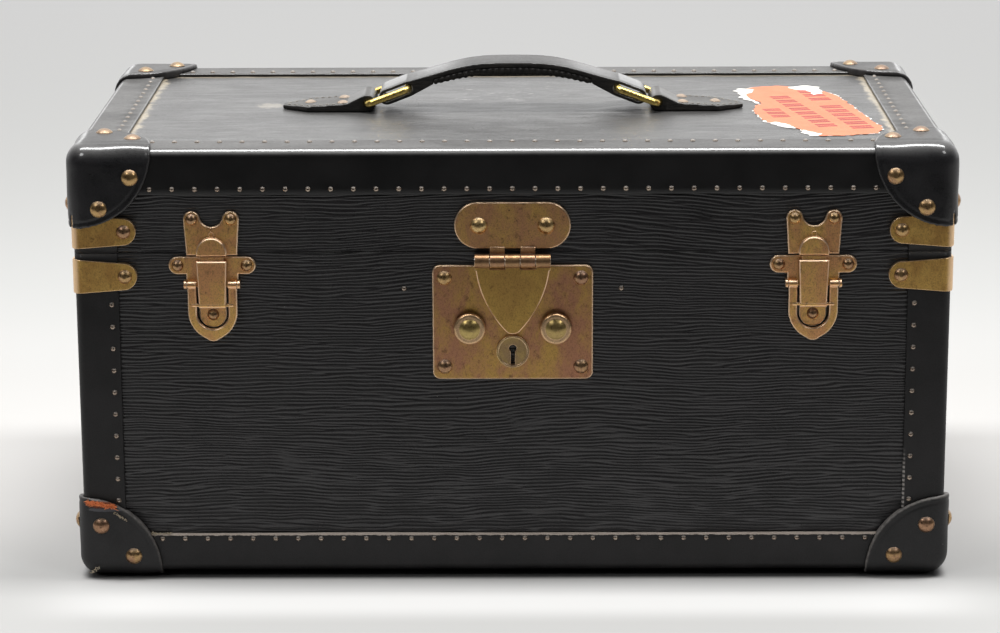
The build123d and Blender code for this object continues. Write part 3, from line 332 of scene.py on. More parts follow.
def aged_brass(name, gold, patina, share, roughness, seed, dust=0.0, rim=0.0, dark=DARK_BRASS,
               collar=False, barrel=False, rough=1.0):
    """Brass with a cloudy brown patina, dark pits, fine scratches and dust on what looks up.

    share is how much patina covers, and rim how bright a plate's pale edges are, partly rubbed and partly a
    painted highlight. collar is for the push buttons, barrel for the pieces with knuckles of the hasp's
    hinge, and rough scales the dents."""
    look = Look(name + "_brass", Metallic=1.0)
    shift = (seed * 3.1, seed * 1.7, seed * 2.3)
    cloud = look.noise((0.085, 0.085, 0.05, shift), 5.0, 0.6, 0.4)
    mottle = look.noise((0.8, 0.8, 0.45, shift), 5.0, 0.7)
    stain = look.noise((0.30, 0.30, 0.22, shift), 5.0, 0.75)
    scratch = look.noise((0.35, 0.35, 5.0, shift), 3.0, 0.6, 0.5)
    blend = look.plus(cloud, look.times(mottle, 0.35))
    colour = look.mix(look.ramp(blend, 0.42 + 0.20 * share, 0.74 + 0.24 * share), patina, gold)
    colour = look.mix(look.ramp(stain, 0.55, 0.74, 0.0, 0.75), colour, dark)
    if collar:
        from_x = look.minus(look.size(look.part_mm("X")), BUTTON_X)
        from_z = look.minus(look.part_mm("Z"), BUTTON_Z)
        reach = look.plus(look.times(from_x, from_x), look.times(from_z, from_z))
        outside = look.ramp(reach, BUTTON_DOME ** 2 - 1.0, BUTTON_DOME ** 2 + 1.5)
        colour = look.mix(outside, colour, COLLAR_BRASS)
    # Pale edges where the bevelled normal leaves the true one, and on a plate's sides when rim is set: partly
    # rubbed brass, partly a painted highlight along the edges
    rounded = look.add("Bevel", {"Radius": 0.55 * MM}, samples=6).outputs[0]
    flat = look.add("NewGeometry").outputs["True Normal"]
    across = look.add("VectorMath", {0: rounded, 1: flat}, operation="DOT_PRODUCT")
    rubbed = look.ramp(across.outputs["Value"], 0.985, 0.86, 0.0, 0.75)
    if rim:
        aside = look.ramp(look.size(look.facing("Y")), 0.985, 0.80, 0.0, rim)
        if barrel:
            from_barrel = look.size(look.minus(look.part_mm("Z"), BARREL_Z))
            clear = look.ramp(from_barrel, BARREL_RADIUS + 0.1, BARREL_RADIUS + 0.5)
            aside = look.times(aside, clear)
            colour = look.mix(look.ramp(clear, 0.0, 1.0, 0.75, 0.0), colour, BARREL_BRASS)
        rubbed = look.math("MAXIMUM", rubbed, aside)
    grime = look.noise((1.7, 1.7, 1.2, shift), 4.0, 0.75)
    colour = look.mix(look.ramp(grime, 0.45, 0.72, 0.0, 0.5), colour, dark)
    colour = look.mix(rubbed, colour, RUBBED_HIGHLIGHT_BRASS)
    if dust:
        settled = look.times(look.upward(), look.ramp(mottle, 0.3, 0.6, dust * 0.6, dust))
        colour = look.mix(settled, colour, (0.28, 0.265, 0.245))
        look.put("Metallic", look.minus(1.0, settled))
    gloss = look.plus(look.times(mottle, 0.6), look.times(scratch, 0.5))
    gloss = look.ramp(gloss, 0.3, 0.85, roughness - 0.08, roughness + 0.20)
    if dust:
        gloss = look.plus(gloss, look.times(settled, 0.5))
    dent = look.bump(cloud, 0.25, 0.4 * rough, rounded)
    dent = look.bump(scratch, 0.02, 0.4 * rough, dent)
    return look.done(colour, gloss, look.bump(mottle, 0.05, 0.5 * rough, dent))


def plain_steel():
    look = Look("plain_steel", Metallic=1.0)
    brushed = look.noise((3.0, 0.4, 0.4), 4.0, 0.6)
    colour = look.mix(look.ramp(brushed, 0.3, 0.7), (0.30, 0.29, 0.27), (0.50, 0.49, 0.46))
    return look.done(colour, look.ramp(brushed, 0.2, 0.8, 0.25, 0.5), look.bump(brushed, 0.02, 0.5))


def raw_wood():
    look = Look("raw_wood", Specular_IOR_Level=0.3)
    rings = look.noise((0.012, 0.35, 0.35), 6.0, 0.6, 0.6)
    fibre = look.noise((0.06, 2.4, 2.4), 3.0, 0.6)
    colour = look.mix(look.ramp(rings, 0.35, 0.65), (0.40, 0.27, 0.15), (0.25, 0.15, 0.075))
    colour = look.mix(look.ramp(fibre, 0.55, 0.8, 0.0, 0.5), colour, (0.15, 0.085, 0.04))
    return look.done(colour, look.ramp(fibre, 0.2, 0.8, 0.55, 0.75), look.bump(fibre, 0.08, 0.6))


THREAD_PITCH = 0.9


def lining_cloth():
    """Brushed cotton: a fine weave under a soft nap."""
    look = Look("lining_cloth", Sheen_Weight=0.35, Sheen_Roughness=0.5, Specular_IOR_Level=0.2)
    nap = look.noise(0.5, 6.0, 0.75)
    cloud = look.noise(0.02, 4.0, 0.6)
    waves = [look.math("SINE", look.times(look.part_mm(axis), 2 * pi / THREAD_PITCH)) for axis in "XYZ"]
    threads = [look.ramp(wave, -1.0, 1.0) for wave in waves]
    weave = look.times(look.times(threads[0], threads[1]), threads[2])
    colour = look.mix(look.ramp(cloud, 0.3, 0.7), (0.31, 0.225, 0.135), (0.38, 0.285, 0.18))
    colour = look.mix(look.ramp(nap, 0.4, 0.75, 0.0, 0.5), colour, (0.24, 0.17, 0.10))
    rough = look.ramp(nap, 0.2, 0.8, 0.8, 0.95)
    return look.done(colour, rough, look.bump(nap, 0.12, 0.6, look.bump(weave, 0.06, 0.4)))


def mirror_face():
    look = Look("mirror_face", Metallic=1.0)
    haze = look.noise(0.03, 6.0, 0.7)
    colour = look.mix(look.ramp(haze, 0.6, 0.8, 0.0, 0.5), (0.80, 0.82, 0.82), (0.60, 0.60, 0.57))
    return look.done(colour, look.ramp(haze, 0.5, 0.85, 0.015, 0.12))


def label_paper(name, colour, shade):
    look = Look(name, Specular_IOR_Level=0.3)
    fibre = look.noise(1.2, 5.0, 0.7)
    crumple = look.noise(0.09, 5.0, 0.65)
    mixed = look.mix(look.ramp(crumple, 0.35, 0.7), colour, shade)
    mixed = look.mix(look.ramp(fibre, 0.55, 0.8, 0.0, 0.35), mixed, (0.75, 0.70, 0.66))
    rough = look.ramp(fibre, 0.2, 0.8, 0.45, 0.65)
    return look.done(mixed, rough, look.bump(crumple, 0.5, 0.5, look.bump(fibre, 0.05, 0.5)))


# The middle of the tear in the left front cap of the body
TEAR_AT = (-191.2, -CAP_FACE_Y, 36.4)

GRAINED = grained_leather()
BINDING_LEATHER = smooth_leather("binding", 0.36, (0.0060, 0.0056, 0.0058), 0.9, dust=0.17)
MATT_BINDING = smooth_leather("matt_binding", 0.50, (0.0150, 0.0140, 0.0145), 0.12, (worn_lip, worn_stitches))
CAP_LEATHER = smooth_leather("cap", 0.30, (0.0180, 0.0174, 0.0190), 0.9, (cap_wear_and_highlight,))
MATT_CAP = smooth_leather("matt_cap", 0.46, (0.0150, 0.0144, 0.0150), 0.15, (cap_wear_and_highlight,))
STRAP_LEATHER = smooth_leather("strap", 0.30, (0.0075, 0.0070, 0.0070), 0.7)
CHAPE_LEATHER = smooth_leather("chape", 0.42, (0.016, 0.015, 0.013), 0.2, dust=0.20)
PAD_LEATHER = smooth_leather("pad", 0.62, (0.0040, 0.0037, 0.0036), 0.0)
TAB_LEATHER = smooth_leather("tab", 0.45, (0.10, 0.045, 0.02), 0.1)
CUT_EDGE = cut_edge_leather()
PLATE = aged_brass("plate", (0.57, 0.355, 0.105), (0.47, 0.23, 0.135), 0.5, 0.34, 1, rim=0.9)
HASP = aged_brass("hasp", (0.72, 0.45, 0.14), (0.62, 0.325, 0.17), 0.6, 0.33, 9, rim=0.9, barrel=True)
TONGUE = aged_brass("tongue", (0.57, 0.365, 0.10), (0.46, 0.275, 0.085), 0.4, 0.36, 5, rim=1.0, barrel=True)
ESCUTCHEON = aged_brass("escutcheon", (0.52, 0.37, 0.13), (0.36, 0.24, 0.13), 0.5, 0.34, 2, rim=1.0)
LATCH = aged_brass("latch", (0.86, 0.54, 0.17), (0.76, 0.39, 0.18), 0.6, 0.33, 4, rim=0.9)
ANGLE = aged_brass("angle", (0.68, 0.43, 0.13), (0.50, 0.285, 0.09), 0.4, 0.38, 2, rim=0.6)
GOLD_RIVET = aged_brass("gold_rivet", (0.66, 0.47, 0.21), (0.48, 0.31, 0.14), 0.4, 0.26, 6, 0.3)
RIVET, NAIL, CHAPE_RIVET = [
    aged_brass(name, gold, patina, share, roughness, seed, dust, dark=dark)
    for name, gold, patina, dark, share, roughness, seed, dust in (
        ("rivet", (0.50, 0.325, 0.14), (0.33, 0.19, 0.115), (0.10, 0.06, 0.045), 0.5, 0.26, 3, 0.4),
        ("nail", (0.44, 0.36, 0.29), (0.31, 0.245, 0.20), (0.10, 0.07, 0.06), 0.3, 0.20, 6, 1.0),
        ("chape", (0.74, 0.54, 0.36), (0.56, 0.38, 0.25), (0.26, 0.17, 0.12), 0.3, 0.42, 8, 0.7),
    )
]
BUTTON = aged_brass(
    "button", (0.46, 0.35, 0.13), (0.38, 0.27, 0.11), 0.25, 0.30, 5, dark=(0.16, 0.10, 0.06), collar=True
)
BRIGHT_BRASS = aged_brass(
    "bright", (0.85, 0.64, 0.20), (0.70, 0.50, 0.14), 0.1, 0.20, 7, dark=(0.34, 0.22, 0.07), rough=0.12
)
STEEL = plain_steel()
WOOD = raw_wood()
CLOTH = lining_cloth()
MIRROR = mirror_face()
ORANGE = label_paper("orange_print", (0.66, 0.215, 0.105), (0.60, 0.185, 0.09))
PAPER = label_paper("torn_paper", (0.86, 0.84, 0.80), (0.72, 0.69, 0.64))
BARS = label_paper("print_bars", (0.36, 0.048, 0.045), (0.30, 0.04, 0.038))
THREAD = label_paper("thread", (0.36, 0.34, 0.30), (0.22, 0.20, 0.17))
FIBRE = label_paper("torn_fibre", (0.95, 0.33, 0.13), (0.70, 0.21, 0.07))
PALE_FIBRE = label_paper("pale_fibre", (0.48, 0.41, 0.30), (0.36, 0.30, 0.22))

for names, material in (
    ("lock_plate", PLATE),
    ("key_escutcheon", ESCUTCHEON),
    ("hasp_plate", HASP),
    ("hasp_tongue", TONGUE),
    ("latch_catches latch_bases latch_lever_left latch_lever_right", LATCH),
    ("latch_hook_left latch_hook_right hinge_leaves_body hinge_leaves_lid", LATCH),
    ("body_brass_angles lid_brass_angles mirror_frame", ANGLE),
    ("body_corner_rivets lid_corner_rivets lock_plate_rivets body_small_rivets lid_small_rivets", RIVET),
    ("hasp_plate_rivets", GOLD_RIVET),
    ("chape_rivets", CHAPE_RIVET),
    ("body_nails lid_nails", NAIL),
    ("push_button_left push_button_right", BUTTON),
    ("lock_case lock_bolt key_follower lever_pins hasp_pin hinge_pins", STEEL),
    ("body_bottom_panel body_front_panel body_back_panel body_end_panels", WOOD),
    ("lid_top_panel lid_front_panel lid_back_panel lid_end_panels tray_ledges", WOOD),
    ("mirror_glass", MIRROR),
):
    for name in names.split():
        nodes[name].data.materials.clear()
        nodes[name].data.materials.append(material)


# Mesh helpers
def linked(name, data):
    """A new object in the scene."""
    made = bpy.data.objects.new(name, data)
    scene.collection.objects.link(made)
    return made


def vertex_rows(mesh, key):
    """The places or the normals of a mesh's points, as rows of three numbers."""
    values = np.empty(len(mesh.vertices) * 3)
    mesh.vertices.foreach_get(key, values)
    return values.reshape(-1, 3)


def store(mesh, name, values):
    """Keep one number for each point, for a material to read."""
    mesh.attributes.new(name, "FLOAT", "POINT").data.foreach_set("value", np.asarray(values, np.float32))


def strip_faces(rows, count, closed=False):
    """Quads between rows of count points each, all round; closed joins the last row to the first."""
    faces = []
    for i in range(rows if closed else rows - 1):
        low, high = i * count, (i + 1) % rows * count
        for j in range(count):
            k = (j + 1) % count
            faces.append([low + j, low + k, high + k, high + j])
    return faces


def tube_faces(rows, count):
    """The same quads, with a flat face on each end."""
    ends = [list(range(count))[::-1], [(rows - 1) * count + k for k in range(count)]]
    return strip_faces(rows, count) + ends


def finish_piece(name, points, faces, body, materials, stands_for=(), smooth=None):
    """Make a mesh from points in millimetres and put it on its body."""
    mesh = bpy.data.meshes.new(name)
    mesh.from_pydata([tuple(c * MM for c in p) for p in points], [], faces)
    mesh.validate()
    for material in materials:
        mesh.materials.append(material)
    if smooth is not None:
        mesh.polygons.foreach_set("use_smooth", smooth)
    piece = linked(name, mesh)
    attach(piece, body)
    if stands_for:
        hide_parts(*stands_for)
    return piece


def tidy_mesh(piece, merge=0.0):
    """Merge doubled points where asked and turn all faces outwards."""
    b = bmesh.new()
    b.from_mesh(piece.data)
    if merge:
        bmesh.ops.remove_doubles(b, verts=b.verts, dist=merge * MM)
        bmesh.ops.dissolve_degenerate(b, edges=b.edges, dist=merge * MM)
    bmesh.ops.recalc_face_normals(b, faces=b.faces)
    b.to_mesh(piece.data)
    b.free()


# Pressed wave grain: band-limited noise whose waves run level, with ridges that wander and merge
GRAIN_PITCH = 1.55
GRAIN_STEP = 0.3
GRAIN_WIDE = 460.0
GRAIN_HIGH = 300.0
GRAIN_DEEP = 0.40
COLUMN = 2.4


def field(shape, band, seed):
    """Seeded noise with this frequency band, scaled to a spread of one."""
    noise = np.random.default_rng(seed).standard_normal(shape)
    wave = np.fft.ifft2(np.fft.fft2(noise) * band).real
    return wave / wave.std()


def grain_sheet(seed):
    """Ridge heights from 0 to 1 on a sheet, with its steps in millimetres."""
    step_u, step_v = 1.0, GRAIN_STEP / 2
    shape = (int(GRAIN_HIGH / step_v), int(GRAIN_WIDE / step_u))
    fv = np.abs(np.fft.fftfreq(shape[0], step_v))[:, None]
    fu = np.abs(np.fft.fftfreq(shape[1], step_u))[None, :]
    band = np.exp(-((fv * GRAIN_PITCH - 1.0) / 0.24) ** 2 / 2) * np.exp(-((fu * 42.0) ** 2) / 2)
    wave = field(shape, band, seed)
    low = np.exp(-((fv * 90.0) ** 2) / 2) * np.exp(-((fu * 200.0) ** 2) / 2)
    near = np.exp(-((fv * 14.0) ** 2) / 2) * np.exp(-((fu * 26.0) ** 2) / 2)
    drift = field(shape, low, seed + 1) * 1.7 + field(shape, near, seed + 2) * 0.22
    rows = np.arange(shape[0])[:, None] + drift / step_v
    columns = np.arange(shape[1])[None, :] + np.zeros_like(rows)
    wave = sample(wave, rows, columns)
    height = np.clip((wave + 1.2) / 1.5, 0.0, 1.0)
    return height * height * (3 - 2 * height)


def sample(sheet, rows, columns):
    """Read a sheet that repeats at its borders, between its points."""
    r0, c0 = np.floor(rows).astype(int), np.floor(columns).astype(int)
    fr, fc = rows - r0, columns - c0
    high, wide = sheet.shape
    r1, c1 = (r0 + 1) % high, (c0 + 1) % wide
    r0, c0 = r0 % high, c0 % wide
    upper = sheet[r0, c0] * (1 - fc) + sheet[r0, c1] * fc
    lower = sheet[r1, c0] * (1 - fc) + sheet[r1, c1] * fc
    return upper * (1 - fr) + lower * fr


def grain_panel(name, body, half, seen, v_span, v_seen, put, sheet_at, deep=GRAIN_DEEP, coarse=1.0):
    """A leather sheet with grain on its outer face inside the seen window; half and seen are half widths."""
    u_span, u_seen = (-half, half), (-seen, seen)
    u = np.arange(u_seen[0], u_seen[1] + COLUMN * coarse / 2, COLUMN * coarse)
    v = np.arange(v_seen[0], v_seen[1] + GRAIN_STEP * coarse / 2, GRAIN_STEP * coarse)
    u[-1], v[-1] = u_seen[1], v_seen[1]
    u = np.unique(np.concatenate([[u_span[0]], u, [u_span[1]]]))
    v = np.unique(np.concatenate([[v_span[0]], v, [v_span[1]]]))
    uu, vv = np.meshgrid(u, v)
    ridge = sample(SHEET, (vv + sheet_at[1]) / (GRAIN_STEP / 2), uu + sheet_at[0])
    hidden = (uu < u_seen[0]) | (uu > u_seen[1]) | (vv < v_seen[0]) | (vv > v_seen[1])
    ridge[hidden] = 1.0
    swell = sample(SWELL, (vv + sheet_at[1]) / 2.0, (uu + sheet_at[0]) / 2.0) * 0.06
    depth = (1.0 - ridge) * deep + np.clip(swell, -0.1, 0.1) * (~hidden) + 0.1 * (~hidden)
    rows, columns = uu.shape
    outer = [put(a, b, -c) for a, b, c in zip(uu.ravel(), vv.ravel(), depth.ravel())]
    grid = np.arange(rows * columns).reshape(rows, columns)
    quads = np.stack([grid[:-1, :-1], grid[:-1, 1:], grid[1:, 1:], grid[1:, :-1]], -1).reshape(-1, 4)
    rim = np.concatenate([grid[0, :-1], grid[:-1, -1], grid[-1, :0:-1], grid[:0:-1, 0]])
    inner = [put(uu.flat[i], vv.flat[i], -LEATHER) for i in rim]
    first = len(outer)
    steps = [(i, (i + 1) % len(rim)) for i in range(len(rim))]
    faces = quads.tolist()
    faces += [[int(rim[k]), int(rim[i]), first + i, first + k] for i, k in steps]
    middle = first + len(rim)
    inner.append(put((u_span[0] + u_span[1]) / 2, (v_span[0] + v_span[1]) / 2, -LEATHER))
    faces += [[first + k, first + i, middle] for i, k in steps]
    smooth = np.zeros(len(faces), bool)
    smooth[: len(quads)] = True
    node = "lid_leather" if body == "lid" else "body_leather"
    name = "grained_" + name
    piece = finish_piece(name, outer + inner, faces, body, [GRAINED], (node,), smooth)
    values = np.ones(len(outer) + len(inner), np.float32)
    values[: len(outer)] = ridge.ravel()
    store(piece.data, "ridge", values)
    tidy_mesh(piece)


SHEET = grain_sheet(11)
fine_v = np.abs(np.fft.fftfreq(150, 2.0))[:, None]
fine_u = np.abs(np.fft.fftfreq(230, 2.0))[None, :]
SWELL = field((150, 230), np.exp(-((fine_v * 26.0) ** 2 + (fine_u * 26.0) ** 2) / 2), 21)


seen_x = HALF_X - POST_WIDE + 2.0
seen_y = HALF_Y - POST_WIDE + 2.0
end_y = FACE_Y - LEATHER
for side, half, seen, at, put in (
    ("front", FACE_X, seen_x, (230, 0), lambda u, v, out: (u, -FACE_Y - out, v)),
    ("back", FACE_X, seen_x, (360, 60), lambda u, v, out: (-u, FACE_Y + out, v)),
    ("left", end_y, seen_y, (480, 110), lambda u, v, out: (-FACE_X - out, -u, v)),
    ("right", end_y, seen_y, (270, 170), lambda u, v, out: (FACE_X + out, u, v)),
):
    window = (BASE_BINDING_TOP - 1.5, BODY_RIM - 0.05)
    grain_panel("body_" + side, "case", half, seen, (LEATHER_BASE + LEATHER, BODY_RIM), window, put, at)
    window = (LID_RIM + 0.05, LID_BINDING_LOW + 1.5)
    grain_panel("lid_" + side, "lid", half, seen, (LID_RIM, LEATHER_TOP - LEATHER), window, put, at)
for name, body, margin, at, deep, coarse, put in (
    ("lid_top", "lid", LID_BINDING_IN, (300, 200), 0.07, 1.2, lambda u, v, out: (u, v, LEATHER_TOP + out)),
    ("base", "case", BASE_BINDING_IN, (90, 20), 0.2, 1.8, lambda u, v, out: (u, -v, LEATHER_BASE - out)),
):
    seen_x, seen_y = HALF_X - margin + 1.5, HALF_Y - margin + 1.5
    window = (-seen_y, seen_y)
    grain_panel(name, body, FACE_X, seen_x, (-FACE_Y, FACE_Y), window, put, at, deep, coarse)


# Bindings: strips with rounded lips that follow the edges
def wobble(x, y, z, scale, seed):
    """A smooth value from -1 to 1 that varies along a piece."""
    a = sin(x / scale * 1.00 + seed * 1.3 + 0.7 * sin(y / scale + seed))
    b = sin(y / scale * 1.31 + seed * 2.1 + 0.6 * sin(x / scale * 0.63))
    c = sin((x + y + 1.4 * z) / scale * 0.47 + seed * 3.7)
    return (a + b + c) / 3


def lip(a, b, out):
    """Points of a half round between a and b that bulges along out, without its ends."""
    radius = BINDING / 2
    points = []
    for i in range(1, 5):
        t = pi * i / 5
        middle = [(p + q) / 2 for p, q in zip(a, b)]
        points.append(tuple(m + (p - m) * cos(t) + o * radius * sin(t) for m, p, o in zip(middle, a, out)))
    return points


def stations(step, side_step, turns=6):
    """Places round the rounded rectangle of the case: outer point, outward direction and corner signs."""
    places = []
    corners = [((1, -1), -90), ((1, 1), 0), ((-1, 1), 90), ((-1, -1), 180)]
    for (sx, sy), start in corners:
        for i in range(turns + 1):
            angle = radians(start + 90 * i / turns)
            places.append(("turn", sx, sy, (cos(angle), sin(angle))))
        nx, ny = cos(radians(start + 90)), sin(radians(start + 90))
        half = (HALF_X if abs(ny) > 0.5 else HALF_Y) - CORNER
        count = max(2, int(2 * half / (step if abs(ny) > 0.5 else side_step)))
        for i in range(1, count):
            along = 2 * half * i / count - half
            places.append(("side", -ny * along, nx * along, (nx, ny)))
    return places


def ring(profile, side_step):
    """Sweep a closed profile of (inset, height) round the case, with mitred inner parts."""
    points = []
    for kind, a, b, (nx, ny) in stations(6.0, side_step):
        for inset, z in profile:
            if kind == "turn":
                if inset <= CORNER:
                    x = a * (HALF_X - CORNER) + nx * (CORNER - inset)
                    y = b * (HALF_Y - CORNER) + ny * (CORNER - inset)
                else:
                    x, y = a * (HALF_X - inset), b * (HALF_Y - inset)
            else:
                deep = max(inset, CORNER)
                on_x = abs(nx) > 0.5
                reach_x = HALF_X - (inset if on_x else deep)
                reach_y = HALF_Y - (deep if on_x else inset)
                x = min(max(nx * reach_x if on_x else a, -reach_x), reach_x)
                y = min(max(b if on_x else ny * reach_y, -reach_y), reach_y)
            points.append((x, y, z))
    return points, strip_faces(len(points) // len(profile), len(profile), True)


def spaced(a, b, step):
    count = max(1, int(abs(b - a) / step))
    return [a + (b - a) * i / count for i in range(count + 1)]


def flattened_round(steps=30, flat=52.0, spread=6.0, share=2.8):
    """A quarter round that hand wear has flattened a little round one slope, as (inset, rise) from 0 to 1."""
    inset, rise = 0.0, 0.0
    places = [(0.0, 0.0)]
    for i in range(steps):
        slope = 90 * (i + 0.5) / steps
        reach = 1.0 + share * exp(-(((slope - flat) / spread) ** 2))
        inset += reach * sin(radians(slope))
        rise += reach * cos(radians(slope))
        places.append((inset, rise))
    return [(x / inset, z / rise) for x, z in places]


FLATTENED = flattened_round()


def binding_profile(edge_z, up, lip_z, flange_in):
    """The outline of an edge strip: a wall flange, a rounded edge and a flat flange, as (inset, z)."""
    half = BINDING / 2
    wall_end = lip_z + up * half
    flat_end = flange_in - half
    root = edge_z - up * CORNER
    chain = [(0.0, z) for z in spaced(wall_end, root, 2.5)]
    chain += [(inset * CORNER, root + up * rise * CORNER) for inset, rise in FLATTENED[1:-1]]
    chain += [(d, edge_z) for d in spaced(CORNER, flat_end, 1.2)]
    chain += lip((flat_end, edge_z), (flat_end, edge_z - up * BINDING), (1, 0))
    chain += [(d, edge_z - up * BINDING) for d in spaced(flat_end, CORNER, 5.0)]
    inner = CORNER - BINDING
    for i in range(1, 6):
        t = radians(90 - 90 * i / 6)
        chain.append((CORNER - inner * cos(t), root + up * inner * sin(t)))
    chain += [(BINDING, z) for z in spaced(root, wall_end, 5.0)]
    chain += lip((BINDING, wall_end), (0.0, wall_end), (0, -up))
    return chain


# Nail places on the lid's top binding, as in the solids
NAIL_PITCH = 10.4
NAIL_MARGIN = 35.4
NAIL_IN = LID_BINDING_IN - 5.0


def nail_row(half):
    """Even places along one side, as near as they come to the nail pitch."""
    low = NAIL_MARGIN - half
    gaps = round(-2 * low / NAIL_PITCH)
    return [low - 2 * low * n / gaps for n in range(gaps + 1)]


def pucker(x, y, z):
    """The cross pleats of the top binding, which rise at each side nail."""
    from_nail = abs(abs(x) - (HALF_X - NAIL_IN))
    fade = min(1.0, max(0.0, (HALF_Y - NAIL_MARGIN + 6.0 - abs(y)) / 4.0))
    if z < TOP - 0.01 or from_nail > 5.0 or not fade:
        return 0.0
    pitch = SIDE_NAILS[1] - SIDE_NAILS[0]
    wave = 0.42 * cos(2 * pi * (y - SIDE_NAILS[0]) / pitch) - 0.12
    return wave * fade * (0.5 + 0.5 * cos(pi * from_nail / 5.0))


def shaped(points, seed, lip_z):
    """Let the free edge of a strip wander a little, as hand-cut leather does."""
    moved = []
    for x, y, z in points:
        drift = 0.22 * wobble(x, y, z, 17.0, seed) if abs(z - lip_z) < 3.0 else 0.0
        moved.append((x, y, z + drift + pucker(x, y, z)))
    return moved


SIDE_NAILS = nail_row(HALF_Y)
BASE_PROFILE = binding_profile(UNDER, -1, BASE_BINDING_TOP, BASE_BINDING_IN)
LID_PROFILE = binding_profile(TOP, 1, LID_BINDING_LOW, LID_BINDING_IN)
for name, profile, body, node, lip_z, side_step, leather in (
    ("base_edge_binding", BASE_PROFILE, "case", "body_base_binding", BASE_BINDING_TOP, 6.0, MATT_BINDING),
    ("lid_edge_binding_strip", LID_PROFILE, "lid", "lid_edge_binding", LID_BINDING_LOW, 0.8, BINDING_LEATHER),
):
    points, faces = ring(profile, side_step)
    points = shaped(points, 2 if body == "lid" else 5, lip_z)
    piece = finish_piece(name, points, faces, body, [leather], (node,), [True] * len(faces))
    tidy_mesh(piece, 0.01)


def post(name, sx, sy, low, high, body, node, seed):
    """An upright strip wrapped round one edge of the case."""
    half = BINDING / 2
    end_x, end_y = HALF_X - POST_WIDE + half, HALF_Y - POST_WIDE + half
    plan = [(x, HALF_Y) for x in spaced(end_x, HALF_X - CORNER, 4.0)]
    for i in range(1, 7):
        t = radians(90 * i / 7)
        plan.append((HALF_X - CORNER + CORNER * sin(t), HALF_Y - CORNER + CORNER * cos(t)))
    plan += [(HALF_X, y) for y in spaced(HALF_Y - CORNER, end_y, 4.0)]
    plan += lip((HALF_X, end_y), (HALF_X - BINDING, end_y), (0, -1))
    plan += [(HALF_X - BINDING, y) for y in spaced(end_y, HALF_Y - CORNER, 6.0)]
    inner = CORNER - BINDING
    for i in range(1, 5):
        t = radians(90 - 90 * i / 5)
        plan.append((HALF_X - CORNER + inner * sin(t), HALF_Y - CORNER + inner * cos(t)))
    plan += [(x, HALF_Y - BINDING) for x in spaced(HALF_X - CORNER, end_x, 6.0)]
    plan += lip((end_x, HALF_Y - BINDING), (end_x, HALF_Y), (-1, 0))
    levels = spaced(low, high, 4.0)
    points = []
    for z in levels:
        for x, y in plan:
            free = x < HALF_X - POST_WIDE + 2.5, y < HALF_Y - POST_WIDE + 2.5
            drift = 0.25 * wobble(sx * 40, sy * 40, z, 13.0, seed)
            points.append((sx * (x + (drift if free[0] else 0)), sy * (y + (drift if free[1] else 0)), z))
    n = len(plan)
    faces = strip_faces(len(levels), n)
    smooth = [True] * len(faces) + [False] * 2
    faces.append(list(range(n)))
    faces.append([(len(levels) - 1) * n + j for j in range(n)])
    tidy_mesh(finish_piece(name, points, faces, body, [MATT_BINDING], (node,), smooth))


corner_names = {(-1, -1): "front_left", (1, -1): "front_right", (-1, 1): "back_left", (1, 1): "back_right"}
for (sx, sy), label in corner_names.items():
    seed = sx + 2 * sy
    low, high = BASE_BINDING_TOP - 3.0, LID_BINDING_LOW + 3.0
    post("body_post_" + label, sx, sy, low, BODY_RIM, "case", "body_corner_bindings", seed)
    post("lid_post_" + label, sx, sy, LID_RIM, high, "lid", "lid_edge_binding", seed + 5)


# Thick leather pieces: copies of the solids, remeshed and smoothed so that no edge stays sharp
def softened(name, node, body, voxel, rounds, materials, shape=None):
    """A rounded copy of a CAD solid. shape moves the points, given and returned in millimetres."""
    mesh = nodes[node].data.copy()
    mesh.name = name
    mesh.materials.clear()
    piece = linked(name, mesh)
    weld = piece.modifiers.new("weld", "WELD")
    weld.merge_threshold = 0.005 * MM
    remesh = piece.modifiers.new("remesh", "REMESH")
    remesh.mode = "VOXEL"
    remesh.voxel_size = voxel * MM
    remesh.use_smooth_shade = True
    soften = piece.modifiers.new("soften", "SMOOTH")
    soften.factor = 0.5
    soften.iterations = rounds
    bpy.context.view_layer.update()
    made = bpy.data.meshes.new_from_object(piece.evaluated_get(bpy.context.evaluated_depsgraph_get()))
    piece.modifiers.clear()
    piece.data = made
    made.name = name
    if shape is not None:
        co = shape(vertex_rows(made, "co") / MM, vertex_rows(made, "normal"))
        made.vertices.foreach_set("co", (co * MM).ravel())
        made.update()
    made.materials.clear()
    for material in materials:
        made.materials.append(material)
    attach(piece, body)
    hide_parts(node)
    return piece


def pressed(distance, width):
    """The depth of a pressed line, from 1 at its middle to 0 beside it."""
    return np.exp(-((distance / width) ** 2))


def cap_reach(co, z_corner):
    """How far each point lies from its case corner, along the face that it is on."""
    corner = np.stack([np.sign(co[:, 0]) * HALF_X, np.sign(co[:, 1]) * HALF_Y, np.full(len(co), z_corner)], 1)
    flat = np.sort(np.abs(co - corner), 1)
    return np.hypot(flat[:, 1], flat[:, 2])


def cap_shape(z_corner):
    """Press a line along each cap's rim and let the leather swell a little."""

    def move(co, no):
        groove = pressed(cap_reach(co, z_corner) - (CAP_REACH - 2.6), 0.55)
        swell = 0.16 * np.sin(co[:, 0] * 0.21 + co[:, 2] * 0.17) * np.sin(co[:, 1] * 0.23 + co[:, 2] * 0.11)
        return co + no * (swell - 0.28 * groove)[:, None]

    return move


def rim_wear_and_highlight(piece, z_corner, shares):
    """Store how pale the cap rims are, with a share for each corner: rubbed on the body's caps, a painted
    highlight on the lid's caps.
    """
    co = vertex_rows(piece.data, "co") / MM
    rim = np.clip((cap_reach(co, z_corner) - CAP_REACH + 1.0) / 0.7, 0.0, 1.0)
    share = np.empty(len(co))
    for (sx, sy), value in shares.items():
        share[(np.sign(co[:, 0]) == sx) & (np.sign(co[:, 1]) == sy)] = value
    store(piece.data, "edge", rim * share)


